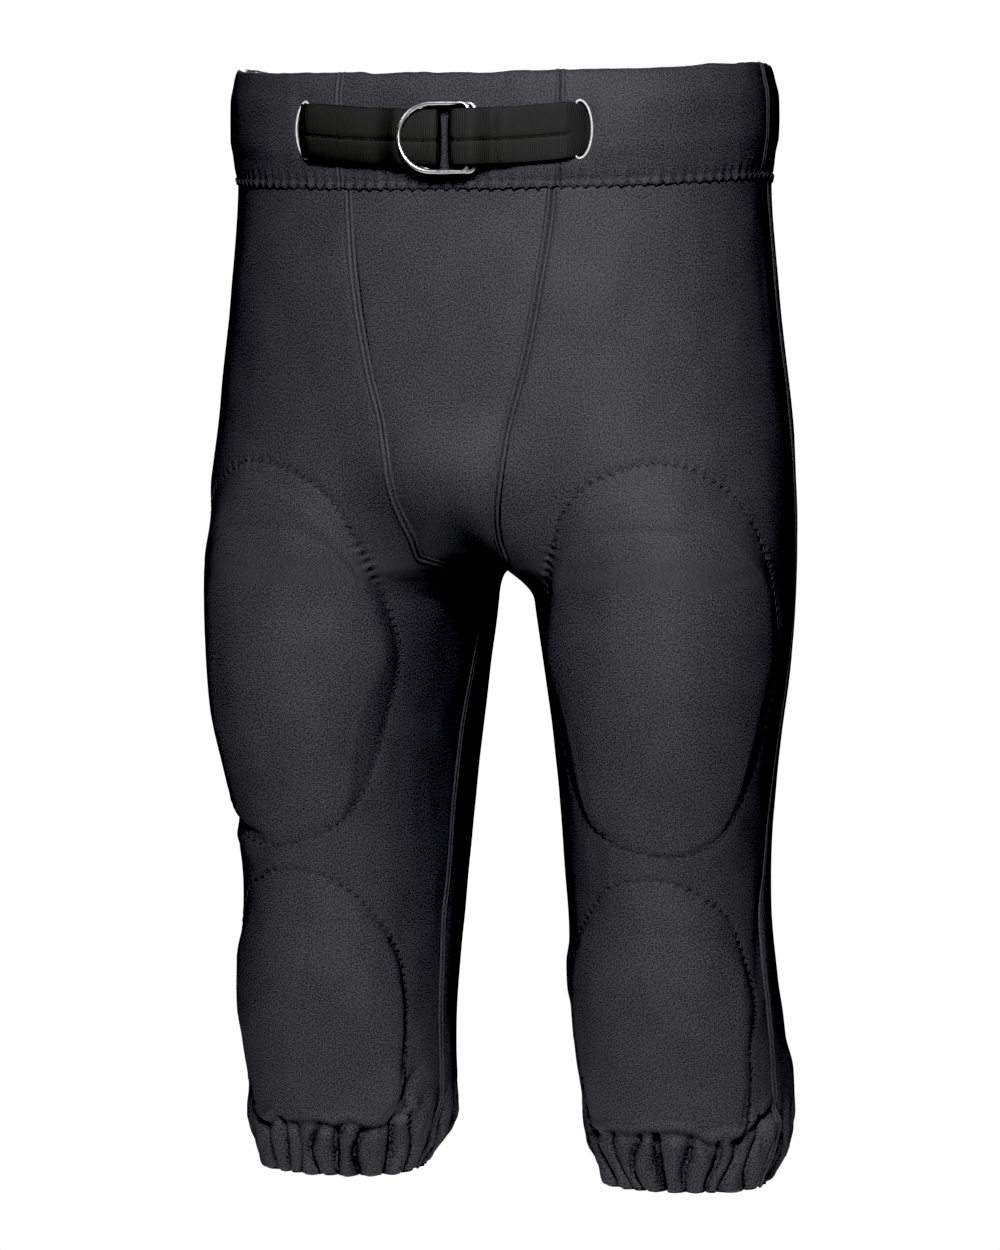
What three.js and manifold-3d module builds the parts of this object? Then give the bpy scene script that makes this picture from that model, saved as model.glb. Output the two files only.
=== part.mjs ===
// Knee-length padded football pants, standing open as if worn. Millimetres, +Z up.
// Front faces -Y, the wearer's left is +X. Origin: middle of the waist at belt mid-height.
import * as THREE from 'three';
import Module from 'manifold-3d';

// ---- driving dimensions (mm) ----
const HIP_WIDTH = 372;        // widest across both hips
const OUTSEAM = 686;          // waistband top edge down to the hem
const CLOTH = 1.0;            // stretch knit
const SEAM_GAP = 0.3;         // clearance between two sewn pieces
const BAND_TOP = 31;          // top fold of the waistband above belt mid-height
const BAND_BOTTOM = -37;      // stitched lower edge of the waistband
const BAND_DEPTH = 9.2;       // waistband tunnel, outside to inside
const BELT_HEIGHT = 35;
const BELT_THICK = 2.0;
const SLOT_WIDTH = 15;        // opened width of each belt slot
const SLOT_SPARE = 4;         // slot height above belt height
const SLOT_RIGHT = -93.5;     // slot centres, measured round the waist from centre front
const SLOT_LEFT = 81.5;
const BELT_DIP = 8;           // how far the buckle end hangs below the belt's level at the sides
const SIDE_RISE = 9;          // how far the waist stands higher at the hips than in front
const BACK_DROP = 3;          // and how far it falls again behind
const BINDING_WIDTH = 3;
const BINDING_THICK = 0.8;
const RING_WIRE = 3.0;
const RING_STRAIGHT = 22;     // straight sides of a ring, between its bar and its round end
const THIGH_PAD = 12;         // foam thickness
const KNEE_PAD = 9;
const POCKET_CLOTH = 0.8;
const HEM_TOP = -631;
const HEM_BOTTOM = -655;
const ELASTIC_THICK = 1.1;

const GIRTH = HIP_WIDTH / 372;
const LENGTH = OUTSEAM / 686;
const DEG = Math.PI / 180;

// Seat and waist: level, half width, depth in front, depth behind.
const TORSO = [
  [60, 170, 113, 116],
  [0, 171, 114, 117],
  [-37, 168, 111, 114.5],
  [-100, 172, 116, 124],
  [-170, 180, 117, 130],
  [-235, 184, 119, 128],
  [-300, 186, 120, 116],
];
// Leg: level, centre x, centre y, half width, half depth.
const LEG = [
  [-190, 101, 6, 83, 116],
  [-285, 102.3, 10, 80.7, 115],
  [-340, 104, 9.8, 74.8, 113],
  [-370, 104, 10.2, 71, 109],
  [-400, 103.2, 11.5, 67.5, 102],
  [-430, 102.5, 14, 65, 94],
  [-460, 102.5, 16.5, 63.5, 87],
  [-490, 104, 17, 63, 83],
  [-520, 106, 16, 64.5, 78],
  [-550, 108.5, 18, 65.6, 73],
  [-580, 110, 24, 66, 67],
  [-610, 111, 32, 64, 66],
  [-630, 112, 34, 60.5, 62],
  [-655, 113, 32, 56, 52],
];
// Seams as angles round the leg centre: 0 is front, 90 the outer side.
const FRONT_SEAM = [[31, -18.5], [-40, -19], [-105, -21.5], [-165, -26.5], [-226, -35], [-262, -48]];
const SIDE_SEAM = [[31, 90], [-40, 97], [-100, 100], [-300, 96], [-431, 82], [-495, 74], [-600, 72],
  [-655, 64]];
const TOE_OUT = 12 * DEG;
const SQUARE_LEG = 2.15;
const SQUARE_TORSO = 2.25;
const BLEND_LOW = -290;
const BLEND_HIGH = -165;
const CROTCH = -278;
const GUSSET_TIP = -140;

// ---- tables and blends ----
function table(rows, level) {
  const r = [...rows].sort((a, b) => a[0] - b[0]);
  const z = Math.min(Math.max(level, r[0][0]), r[r.length - 1][0]);
  let i = 0;
  while (i < r.length - 2 && z > r[i + 1][0]) i += 1;
  const slope = (k, c) => {
    const a = Math.max(k - 1, 0);
    const b = Math.min(k + 1, r.length - 1);
    if (k > 0 && k < r.length - 1) {
      const s1 = (r[k][c] - r[a][c]) / (r[k][0] - r[a][0]);
      const s2 = (r[b][c] - r[k][c]) / (r[b][0] - r[k][0]);
      return (s1 + s2) / 2;
    }
    return (r[b][c] - r[a][c]) / (r[b][0] - r[a][0]);
  };
  const h = r[i + 1][0] - r[i][0];
  const s = (z - r[i][0]) / h;
  return r[i].slice(1).map((v, n) => {
    const c = n + 1;
    const m0 = slope(i, c) * h;
    const m1 = slope(i + 1, c) * h;
    const p1 = r[i + 1][c];
    return (2 * s ** 3 - 3 * s * s + 1) * v + (s ** 3 - 2 * s * s + s) * m0
      + (3 * s * s - 2 * s ** 3) * p1 + (s ** 3 - s * s) * m1;
  });
}
const linear = (rows, level) => {
  const r = [...rows].sort((a, b) => a[0] - b[0]);
  if (level <= r[0][0]) return r[0][1];
  for (let i = 1; i < r.length; i += 1) {
    if (level <= r[i][0]) {
      const s = (level - r[i - 1][0]) / (r[i][0] - r[i - 1][0]);
      return r[i - 1][1] + s * (r[i][1] - r[i - 1][1]);
    }
  }
  return r[r.length - 1][1];
};
const ease = (x) => {
  const c = Math.min(Math.max(x, 0), 1);
  return c * c * (3 - 2 * c);
};
const mix = (a, b, t) => a + (b - a) * t;

// ---- the garment surface ----
function section(phi, z) {
  const [cx, cy, p, q] = table(LEG, z);
  const a = phi - TOE_OUT;
  const leg = (Math.abs(Math.sin(a) / p) ** SQUARE_LEG
    + Math.abs(Math.cos(a) / q) ** SQUARE_LEG) ** (-1 / SQUARE_LEG);
  const w = ease((z - BLEND_LOW) / (BLEND_HIGH - BLEND_LOW));
  let r = leg;
  if (w > 0) {
    const [half, front, back] = table(TORSO, z);
    let lo = 0;
    let hi = 500;
    for (let k = 0; k < 36; k += 1) {
      const m = (lo + hi) / 2;
      const x = cx + m * Math.sin(phi);
      const y = -m * Math.cos(phi);
      const b = y < 0 ? front : back;
      const inside = Math.abs(x / half) ** SQUARE_TORSO + Math.abs(y / b) ** SQUARE_TORSO < 1;
      if (inside) lo = m;
      else hi = m;
    }
    r = leg * (1 - w) + lo * w;
  }
  return [cx + r * Math.sin(phi), cy * (1 - w) - r * Math.cos(phi)];
}
function normal(phi, z) {
  const [ax, ay] = section(phi - 0.02, z);
  const [bx, by] = section(phi + 0.02, z);
  const [cx, cy] = section(phi, z - 1.5);
  const [dx, dy] = section(phi, z + 1.5);
  const n = new THREE.Vector3(bx - ax, by - ay, 0).cross(new THREE.Vector3(dx - cx, dy - cy, 3));
  return n.normalize();
}
// Point on the left half of the cloth, sunk by depth below its outer face.
function cloth(phi, z, depth) {
  const [x, y] = section(phi, z);
  const n = normal(phi, z);
  const side = ease(x / 14);
  const keep = new THREE.Vector3(n.x * side, n.y, n.z).normalize();
  return new THREE.Vector3(x - keep.x * depth, y - keep.y * depth, z - keep.z * depth);
}

// The same, but sunk straight inwards at one level.
function clothLevel(phi, z, depth) {
  const [x, y] = section(phi, z);
  const n = normal(phi, z).setZ(0).normalize();
  return new THREE.Vector3(x - n.x * depth, y - n.y * depth, z);
}

// ---- seam lines ----
const inmost = new Map();
function innerAngle(z) {
  if (!inmost.has(z)) {
    let lo = -150 * DEG;
    let hi = -50 * DEG;
    for (let k = 0; k < 44; k += 1) {
      const m1 = lo + (hi - lo) / 3;
      const m2 = hi - (hi - lo) / 3;
      if (section(m1, z)[0] < section(m2, z)[0]) hi = m2;
      else lo = m1;
    }
    inmost.set(z, (lo + hi) / 2);
  }
  return inmost.get(z);
}
function angleAt(z, x, behind) {
  let lo = innerAngle(z);
  let hi = behind ? -200 * DEG : 10 * DEG;
  for (let k = 0; k < 40; k += 1) {
    const m = (lo + hi) / 2;
    if (section(m, z)[0] < x) lo = m;
    else hi = m;
  }
  return (lo + hi) / 2;
}
const crotchAngle = innerAngle(CROTCH);
const crotchHalf = section(crotchAngle, CROTCH)[0];
let saddle = CROTCH;
while (section(innerAngle(saddle), saddle)[0] > 0) saddle += 0.25;

function frontSeam(z) {
  if (z <= CROTCH) {
    const low = mix(-82, -80, (-500 - z) / 100) * DEG;
    return mix(crotchAngle, low, ease((CROTCH - z) / 220)) + Math.max(0, (-610 - z) / 45) * 10 * DEG;
  }
  const t = (z - CROTCH) / (-262 - CROTCH);
  if (t < 1) return mix(crotchAngle, -48 * DEG, Math.sqrt(t) * 0.35 + t * 0.65);
  return table(FRONT_SEAM, z)[0] * DEG;
}
function backSeam(z) {
  if (z <= CROTCH) return frontSeam(z) + 360 * DEG;
  const t = Math.min((z - CROTCH) / (GUSSET_TIP - CROTCH), 1);
  const x = crotchHalf * (1 - t ** 1.15);
  return angleAt(z, Math.max(x, 0.001), true) + 360 * DEG;
}
const sideSeam = (z) => table(SIDE_SEAM, z)[0] * DEG;

// Levels shared by every panel, so that neighbours keep matching edges.
const PANEL_TOP = BAND_BOTTOM - SEAM_GAP;
const up = [];
const UP_STEPS = 9;
for (let k = 0; k <= UP_STEPS; k += 1) {
  up.push(PANEL_TOP + (CROTCH - PANEL_TOP) * Math.sin((k / UP_STEPS) * 90 * DEG));
}
const down = [];
const DOWN_STEPS = 13;
for (let k = 1; k <= DOWN_STEPS; k += 1) down.push(mix(CROTCH, HEM_TOP + SEAM_GAP, k / DOWN_STEPS));
const LEVELS = [...up, ...down];

// ---- mesh builders ----
const wasm = await Module();
wasm.setup();

// The waist dips in front and a little behind; this fades out over the hips.
function finish(v) {
  const fade = ease((v.z + 200) / 160);
  const turn = Math.min(Math.max((v.y + 114) / 150, 0), 1) * 90 * DEG;
  const lift = SIDE_RISE * Math.sin(turn) - BACK_DROP * ease((v.y - 20) / 90);
  return new THREE.Vector3(v.x * GIRTH, v.y * GIRTH, (v.z + lift * fade) * LENGTH);
}
function geometry(points, faces) {
  let volume = 0;
  const v = points;
  for (const [a, b, c] of faces) volume += v[a].dot(new THREE.Vector3().crossVectors(v[b], v[c]));
  const pos = [];
  for (const p of v) pos.push(p.x, p.y, p.z);
  const idx = [];
  for (const [a, b, c] of faces) {
    if (volume > 0) idx.push(a, b, c);
    else idx.push(a, c, b);
  }
  const g = new THREE.BufferGeometry();
  g.setAttribute('position', new THREE.Float32BufferAttribute(pos, 3));
  g.setIndex(idx);
  return g;
}
// Closed sheet from two matching grids of points: outer face and inner face.
function sheet(outer, inner) {
  const rows = outer.length;
  const cols = outer[0].length;
  const points = [...outer.flat(), ...inner.flat()];
  const half = rows * cols;
  const at = (i, j, k) => k * half + i * cols + j;
  const faces = [];
  for (let i = 0; i < rows - 1; i += 1) {
    for (let j = 0; j < cols - 1; j += 1) {
      faces.push([at(i, j, 0), at(i + 1, j, 0), at(i + 1, j + 1, 0)]);
      faces.push([at(i, j, 0), at(i + 1, j + 1, 0), at(i, j + 1, 0)]);
      faces.push([at(i, j, 1), at(i + 1, j + 1, 1), at(i + 1, j, 1)]);
      faces.push([at(i, j, 1), at(i, j + 1, 1), at(i + 1, j + 1, 1)]);
    }
  }
  const rim = [];
  for (let j = 0; j < cols; j += 1) rim.push([0, j]);
  for (let i = 1; i < rows; i += 1) rim.push([i, cols - 1]);
  for (let j = cols - 2; j >= 0; j -= 1) rim.push([rows - 1, j]);
  for (let i = rows - 2; i > 0; i -= 1) rim.push([i, 0]);
  rim.forEach(([i, j], n) => {
    const [p, q] = rim[(n + 1) % rim.length];
    faces.push([at(i, j, 0), at(p, q, 0), at(p, q, 1)]);
    faces.push([at(i, j, 0), at(p, q, 1), at(i, j, 1)]);
  });
  return { points, faces };
}
// Sweep of closed loops; ends capped, or joined when closed.
function sweep(loops, closed) {
  const n = loops[0].length;
  const points = loops.flat();
  const faces = [];
  const last = closed ? loops.length : loops.length - 1;
  for (let i = 0; i < last; i += 1) {
    const a = i * n;
    const b = ((i + 1) % loops.length) * n;
    for (let k = 0; k < n; k += 1) {
      const m = (k + 1) % n;
      faces.push([a + k, b + k, b + m], [a + k, b + m, a + m]);
    }
  }
  if (!closed) {
    const e = (loops.length - 1) * n;
    for (let k = 1; k < n - 1; k += 1) {
      faces.push([0, k, k + 1]);
      faces.push([e, e + k + 1, e + k]);
    }
  }
  return { points, faces };
}
// Sweep of a hollow section with open ends.
function tube(outer, inner) {
  const n = outer[0].length;
  const points = [...outer.flat(), ...inner.flat()];
  const half = outer.length * n;
  const faces = [];
  for (let i = 0; i < outer.length - 1; i += 1) {
    for (let k = 0; k < n; k += 1) {
      const a = i * n + k;
      const b = i * n + ((k + 1) % n);
      faces.push([a, a + n, b + n], [a, b + n, b]);
      faces.push([half + a, half + b + n, half + a + n], [half + a, half + b, half + b + n]);
    }
  }
  const e = (outer.length - 1) * n;
  for (let k = 0; k < n; k += 1) {
    const m = (k + 1) % n;
    faces.push([k, m, half + m], [k, half + m, half + k]);
    faces.push([e + k, half + e + m, e + m], [e + k, half + e + k, half + e + m]);
  }
  return { points, faces };
}

// ---- materials ----
const knit = new THREE.MeshStandardMaterial({ color: 0x3f3e44, roughness: 0.85 });
const lining = new THREE.MeshStandardMaterial({ color: 0x37363b, roughness: 0.9 });
const foam = new THREE.MeshStandardMaterial({ color: 0x2b2b2e, roughness: 0.95 });
const webbing = new THREE.MeshStandardMaterial({ color: 0x212121, roughness: 0.8 });
const chrome = new THREE.MeshStandardMaterial({ color: 0xd8dadd, roughness: 0.2, metalness: 1 });
const thread = new THREE.MeshStandardMaterial({ color: 0xe6e6e6, roughness: 0.8 });
const rubber = new THREE.MeshStandardMaterial({ color: 0xcfcfcb, roughness: 0.9 });

const group = new THREE.Group();
function add(name, body, material, mirrored = false) {
  const pts = body.points.map((p) => finish(mirrored ? new THREE.Vector3(-p.x, p.y, p.z) : p));
  const mesh = new THREE.Mesh(geometry(pts, body.faces), material);
  mesh.name = name;
  group.add(mesh);
  return mesh;
}
function addPair(name, body, material) {
  add(`${name}_left`, body, material);
  add(`${name}_right`, body, material, true);
}

// ---- leg panels ----
// Columns run from one seam to a fixed angle and on to the other seam.
function panel(from, to, middle, before, after) {
  const columns = before + after;
  const faceAt = (depth) => LEVELS.map((z) => {
    const row = [];
    for (let j = 0; j <= columns; j += 1) {
      const a = from(z);
      const b = to(z);
      const angle = j < before ? mix(a, middle, j / before) : mix(middle, b, (j - before) / after);
      const p = cloth(angle, z, depth);
      if (j === 0 || j === columns) {
        const q = cloth(j === 0 ? mix(a, b, 0.01) : mix(a, b, 0.99), z, depth);
        const inward = q.sub(p).setZ(0).normalize();
        p.addScaledVector(inward, SEAM_GAP / 2);
      }
      row.push(p);
    }
    return row;
  });
  return sheet(faceAt(0), faceAt(CLOTH));
}
addPair('front_leg_panel', panel(frontSeam, sideSeam, -10 * DEG, 6, 10), knit);
addPair('back_leg_panel', panel(sideSeam, backSeam, 205 * DEG, 7, 5), knit);

// ---- centre front panel, carried under the crotch to a point on the seat ----
function gusset() {
  const steps = 4;
  const frontRows = up.map((z) => {
    const t = (z - PANEL_TOP) / (CROTCH - PANEL_TOP);
    const z0 = mix(PANEL_TOP, saddle, t);
    const a0 = z0 <= saddle + 0.01 ? innerAngle(saddle) : angleAt(z0, 0, false);
    return [a0, z0, frontSeam(z), z];
  });
  const backRows = [...up].reverse().slice(1).filter((z) => z < GUSSET_TIP - 6).map((z) => {
    const t = (z - CROTCH) / (GUSSET_TIP - CROTCH);
    const z0 = mix(saddle, GUSSET_TIP, t);
    return [angleAt(z0, 0, true), z0, backSeam(z) - 360 * DEG, z];
  });
  const faceAt = (depth) => [...frontRows, ...backRows].map(([a0, z0, a1, z1]) => {
    const halfRow = [];
    for (let k = 0; k <= steps; k += 1) {
      const t = k / steps;
      halfRow.push(cloth(mix(a0, a1, t), mix(z0, z1, t), depth));
    }
    halfRow[0].x = 0;
    const out = halfRow[steps];
    const inward = halfRow[steps - 1].clone().sub(out).normalize();
    out.addScaledVector(inward, SEAM_GAP / 2);
    const other = halfRow.slice(1).map((p) => new THREE.Vector3(-p.x, p.y, p.z)).reverse();
    return [...other, ...halfRow];
  });
  return sheet(faceAt(0), faceAt(CLOTH));
}
add('front_centre_panel', gusset(), knit);

// ---- contour of the waist, measured round from centre front ----
function waistPoint(theta) {
  const [half, front, back] = table(TORSO, 0);
  const s = Math.sin(theta);
  const c = Math.cos(theta);
  const b = c > 0 ? front : back;
  const r = (Math.abs(s / half) ** SQUARE_TORSO + Math.abs(c / b) ** SQUARE_TORSO)
    ** (-1 / SQUARE_TORSO);
  return [r * s, -r * c];
}
const arc = [[0, 0]];
for (let k = 1; k <= 720; k += 1) {
  const [ax, ay] = waistPoint((k - 1) * 0.25 * DEG);
  const [bx, by] = waistPoint(k * 0.25 * DEG);
  arc.push([arc[k - 1][0] + Math.hypot(bx - ax, by - ay), k * 0.25 * DEG]);
}
const HALF_WAIST = arc[720][0];
function along(s, depth, z) {
  const theta = Math.sign(s) * linear(arc, Math.abs(s));
  const [x, y] = waistPoint(theta);
  const [ax, ay] = waistPoint(theta - 0.01);
  const [bx, by] = waistPoint(theta + 0.01);
  const n = new THREE.Vector3(by - ay, -(bx - ax), 0).normalize();
  return new THREE.Vector3(x - n.x * depth, y - n.y * depth, z);
}

// ---- waistband: five lengths of one folded tunnel ----
const dip = (s) => -BELT_DIP * (1 - ease(Math.abs(s) / 170));
const BAND_OUTSIDE = [
  [3, BAND_BOTTOM], [0.6, -26], [0, -8], [0, 12], [1.2, 25], [3, BAND_TOP - 1.2],
  [4.6, BAND_TOP], [6.2, BAND_TOP - 1.2], [8.8, 20], [BAND_DEPTH, 0], [8.8, -20], [7, BAND_BOTTOM],
];
const BAND_INSIDE = [
  [4.3, BAND_BOTTOM + 1.2], [1.9, -26], [1.2, -8], [1.2, 12], [2.3, 24.4], [3.6, BAND_TOP - 2.6],
  [4.6, BAND_TOP - 1.4], [5.4, BAND_TOP - 2.6], [7.6, 20], [BAND_DEPTH - 1.2, 0], [7.6, -20],
  [5.8, BAND_BOTTOM + 1.2],
];
const SEAM_FRONT = 71;        // centre front to the front seams, round the waist
const SEAM_SIDE = 222;
function stations(from, to, count) {
  const out = [];
  for (let k = 0; k <= count; k += 1) out.push(mix(from, to, k / count));
  return out;
}
const g = SEAM_GAP / 2;
const centreStations = stations(-SEAM_FRONT + g, SEAM_FRONT - g, 6);
const sideStations = stations(SEAM_FRONT + g, SEAM_SIDE - g, 10);
const backStations = stations(SEAM_SIDE + g, HALF_WAIST - g, 12);
const flip = (list) => list.map((s) => -s).reverse();
function band(list) {
  const outer = list.map((s) => BAND_OUTSIDE.map(([d, z]) => along(s, d, z)));
  const inner = list.map((s) => BAND_INSIDE.map(([d, z]) => along(s, d, z)));
  return tube(outer, inner);
}
function solid(body) {
  const geo = geometry(body.points, body.faces);
  const mesh = new wasm.Mesh({
    numProp: 3,
    vertProperties: geo.attributes.position.array,
    triVerts: Uint32Array.from(geo.index.array),
  });
  return new wasm.Manifold(mesh);
}
function bodyOf(manifold) {
  const m = manifold.getMesh();
  const points = [];
  for (let i = 0; i < m.vertProperties.length; i += m.numProp) {
    const v = m.vertProperties;
    points.push(new THREE.Vector3(v[i], v[i + 1], v[i + 2]));
  }
  const faces = [];
  for (let i = 0; i < m.triVerts.length; i += 3) {
    faces.push([m.triVerts[i], m.triVerts[i + 1], m.triVerts[i + 2]]);
  }
  return { points, faces };
}
// A block through the outer wall only, following the waist.
function slotCutter(centre) {
  const low = dip(centre) - (BELT_HEIGHT + SLOT_SPARE) / 2;
  const high = low + BELT_HEIGHT + SLOT_SPARE;
  const loops = stations(centre - SLOT_WIDTH / 2, centre + SLOT_WIDTH / 2, 4).map((s) => [
    along(s, -3, low), along(s, 3.4, low), along(s, 3.4, high), along(s, -3, high),
  ]);
  return solid(sweep(loops, false));
}
add('waistband_front_centre', band(centreStations), knit);
const leftBand = solid(band(sideStations)).subtract(slotCutter(SLOT_LEFT));
const rightBand = solid(band(flip(sideStations))).subtract(slotCutter(SLOT_RIGHT));
add('waistband_front_left', bodyOf(leftBand), knit);
add('waistband_front_right', bodyOf(rightBand), knit);
add('waistband_back_left', band(backStations), knit);
add('waistband_back_right', band(flip(backStations)), knit);

// ---- stitched binding round each slot ----
function binding(centre) {
  const w = SLOT_WIDTH / 2;
  const h = (BELT_HEIGHT + SLOT_SPARE) / 2;
  const b = BINDING_WIDTH;
  const level = dip(centre);
  const path = [
    [-w, -h], [-w / 3, -h], [w / 3, -h], [w, -h], [w, -h / 2], [w, 0], [w, h / 2], [w, h],
    [w / 3, h], [-w / 3, h], [-w, h], [-w, h / 2], [-w, 0], [-w, -h / 2],
  ];
  const grow = ([s, z]) => [
    Math.abs(s) > w - 0.01 ? s + Math.sign(s) * b : s,
    Math.abs(z) > h - 0.01 ? z + Math.sign(z) * b : z,
  ];
  const loops = path.map((p) => {
    const [s, z] = p;
    const [t, y] = grow(p);
    return [
      along(centre + s, -SEAM_GAP, level + z), along(centre + t, -SEAM_GAP, level + y),
      along(centre + t, -SEAM_GAP - BINDING_THICK, level + y),
      along(centre + s, -SEAM_GAP - BINDING_THICK, level + z),
    ];
  });
  return sweep(loops, true);
}
add('slot_binding_left', binding(SLOT_LEFT), thread);
add('slot_binding_right', binding(SLOT_RIGHT), thread);

// ---- belt: one length of webbing, stitched loop at one end, free tail at the other ----
// Depths are below the waistband's outer face, so webbing that lies outside it is negative.
const RING_SPARE = 0.75;      // clearance between ring wire and webbing
const TAIL_LOOP = (RING_WIRE + BELT_THICK) / 2 + RING_SPARE;
const SEWN_LOOP = (2 * RING_WIRE + BELT_THICK + SEAM_GAP + 1.3) / 2;
const LOW = -SEAM_GAP - BINDING_THICK - 0.4 - BELT_THICK / 2;
const HIGH = LOW - 2 * TAIL_LOOP;
const PROUD = LOW - 2 * SEWN_LOOP;
const DOUBLE = LOW - BELT_THICK - SEAM_GAP;
const wallAt = (z) => linear(BAND_INSIDE.slice(0, 6).map(([d, y]) => [y, d]), z);
const beltReach = BELT_HEIGHT / 2;
const tightest = Math.max(wallAt(-beltReach), wallAt(beltReach), wallAt(dip(SLOT_LEFT) - beltReach));
const OUTER_LANE = tightest + SEAM_GAP + BELT_THICK / 2;
const INNER_LANE = OUTER_LANE + BELT_THICK + 0.6;
const slotEdge = SLOT_WIDTH / 2;
const TAIL_FOLD = -9.2;       // centres of the two folds, round the waist
const SEWN_FOLD = 12;
const OUTER_BAR = 17;         // straight bars of the two rings
const INNER_BAR = 20.5;
function fold(centre, towards, radius) {
  const out = [];
  for (let k = 1; k < 8; k += 1) {
    const a = (k / 8) * Math.PI;
    out.push([centre + towards * radius * Math.sin(a), LOW - radius + radius * Math.cos(a)]);
  }
  return out;
}
const tunnel = [...sideStations.filter((s) => s > SLOT_LEFT + slotEdge + 6), ...backStations];
const tunnelBack = flip([...sideStations.filter((s) => s > 180), ...backStations]);
const nearLeft = SLOT_LEFT - slotEdge;
const farLeft = SLOT_LEFT + slotEdge;
const nearRight = SLOT_RIGHT + slotEdge;
const farRight = SLOT_RIGHT - slotEdge;
const beltLine = [
  [38, LOW], [30, LOW], [21, LOW], [SEWN_FOLD, LOW],
  ...fold(SEWN_FOLD, -1, SEWN_LOOP),
  [SEWN_FOLD, PROUD], [OUTER_BAR + 2, PROUD], [23, mix(PROUD, DOUBLE, 0.24)],
  [29.5, mix(PROUD, DOUBLE, 0.9)], [33, DOUBLE], [39, DOUBLE], [44, mix(DOUBLE, LOW, 0.6)],
  [49, LOW], [57, LOW], [66, LOW], [nearLeft, LOW], [nearLeft + 1.5, LOW + 0.5],
  [farLeft - 3.6, OUTER_LANE - 1.05], [farLeft, OUTER_LANE],
  ...tunnel.map((s) => [s, OUTER_LANE]),
  ...tunnelBack.map((s) => [s, OUTER_LANE]),
  [-168, mix(OUTER_LANE, INNER_LANE, 0.2)], [-150, mix(OUTER_LANE, INNER_LANE, 0.8)],
  [-138, INNER_LANE], [-124, INNER_LANE], [farRight - 9, INNER_LANE],
  [farRight, INNER_LANE], [farRight + 4.2, INNER_LANE - 0.4],
  [nearRight - 1.7, LOW + 0.6], [nearRight - 0.1, LOW],
  [-74, LOW], [-62, LOW], [-50, LOW], [-38, LOW], [-28, LOW], [-18, LOW], [TAIL_FOLD, LOW],
  ...fold(TAIL_FOLD, 1, TAIL_LOOP),
  [TAIL_FOLD, HIGH], [-18, HIGH], [-27, HIGH], [-33, mix(HIGH, DOUBLE, 0.5)], [-40, DOUBLE],
  [-50, DOUBLE], [-62, DOUBLE], [-74, DOUBLE], [nearRight, DOUBLE],
  [nearRight - 2, DOUBLE + 0.4], [farRight + 1, OUTER_LANE],
  [farRight - 2, OUTER_LANE], [-112, OUTER_LANE], [-124, OUTER_LANE],
];
function ribbon(line) {
  const mid = line.map(([s, d]) => along(s, d, 0));
  const level = line.map(([s]) => dip(s));
  const loops = mid.map((p, i) => {
    const a = mid[Math.max(i - 1, 0)];
    const b = mid[Math.min(i + 1, mid.length - 1)];
    const u = p.clone().sub(a).normalize();
    const v = b.clone().sub(p).normalize();
    const t = (i === 0 ? v : i === mid.length - 1 ? u : u.clone().add(v)).clone().normalize();
    const n = new THREE.Vector3(-t.y, t.x, 0);
    const bend = i === 0 || i === mid.length - 1 ? 1 : Math.max(t.dot(u), 0.8);
    const r = BELT_THICK / 2 / bend;
    const h = BELT_HEIGHT / 2;
    return [
      p.clone().addScaledVector(n, r).setZ(level[i] - h),
      p.clone().addScaledVector(n, -r).setZ(level[i] - h),
      p.clone().addScaledVector(n, -r).setZ(level[i] + h),
      p.clone().addScaledVector(n, r).setZ(level[i] + h),
    ];
  });
  return sweep(loops, false);
}
add('belt', ribbon(beltLine), webbing);

// ---- two D-rings on the stitched loop ----
function dRing(barAt, barDepth, endDepth) {
  const w = RING_WIRE / 2;
  const h = BELT_HEIGHT / 2 + 1.5 + w;
  const origin = along(barAt, barDepth, 0);
  const end = along(barAt - RING_STRAIGHT - h, endDepth, 0);
  const e = end.clone().sub(origin).normalize();
  const o = new THREE.Vector3(-e.y, e.x, 0);
  const bow = RING_STRAIGHT;
  const c = 3;
  const path = [[0, 0], [0, (h - c) * 0.6], [0, h - c], [c * 0.3, h - c * 0.3], [c, h], [bow * 0.55, h]];
  for (let k = 0; k <= 10; k += 1) {
    const a = (k / 10) * Math.PI;
    path.push([bow + h * Math.sin(a), h * Math.cos(a)]);
  }
  path.push([bow * 0.55, -h], [c, -h], [c * 0.3, -h + c * 0.3], [0, -h + c], [0, -(h - c) * 0.6]);
  const at = ([p, z]) => origin.clone().addScaledVector(e, p).setZ(dip(0) + z);
  const loops = path.map((p, i) => {
    const a = at(path[(i + path.length - 1) % path.length]);
    const b = at(path[(i + 1) % path.length]);
    const t = b.sub(a).normalize();
    const m = new THREE.Vector3().crossVectors(t, o).normalize();
    const loop = [];
    for (let k = 0; k < 8; k += 1) {
      const q = (k / 8) * 2 * Math.PI;
      loop.push(at(p).addScaledVector(m, w * Math.cos(q)).addScaledVector(o, w * Math.sin(q)));
    }
    return loop;
  });
  return sweep(loops, true);
}
const innerBar = LOW - TAIL_LOOP;
const outerBar = innerBar - RING_WIRE - 0.35;
add('d_ring_outer', dRing(OUTER_BAR, outerBar, HIGH - BELT_THICK / 2 - RING_WIRE / 2 - 2.5), chrome);
add('d_ring_inner', dRing(INNER_BAR, innerBar, innerBar - 0.35), chrome);

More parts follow.
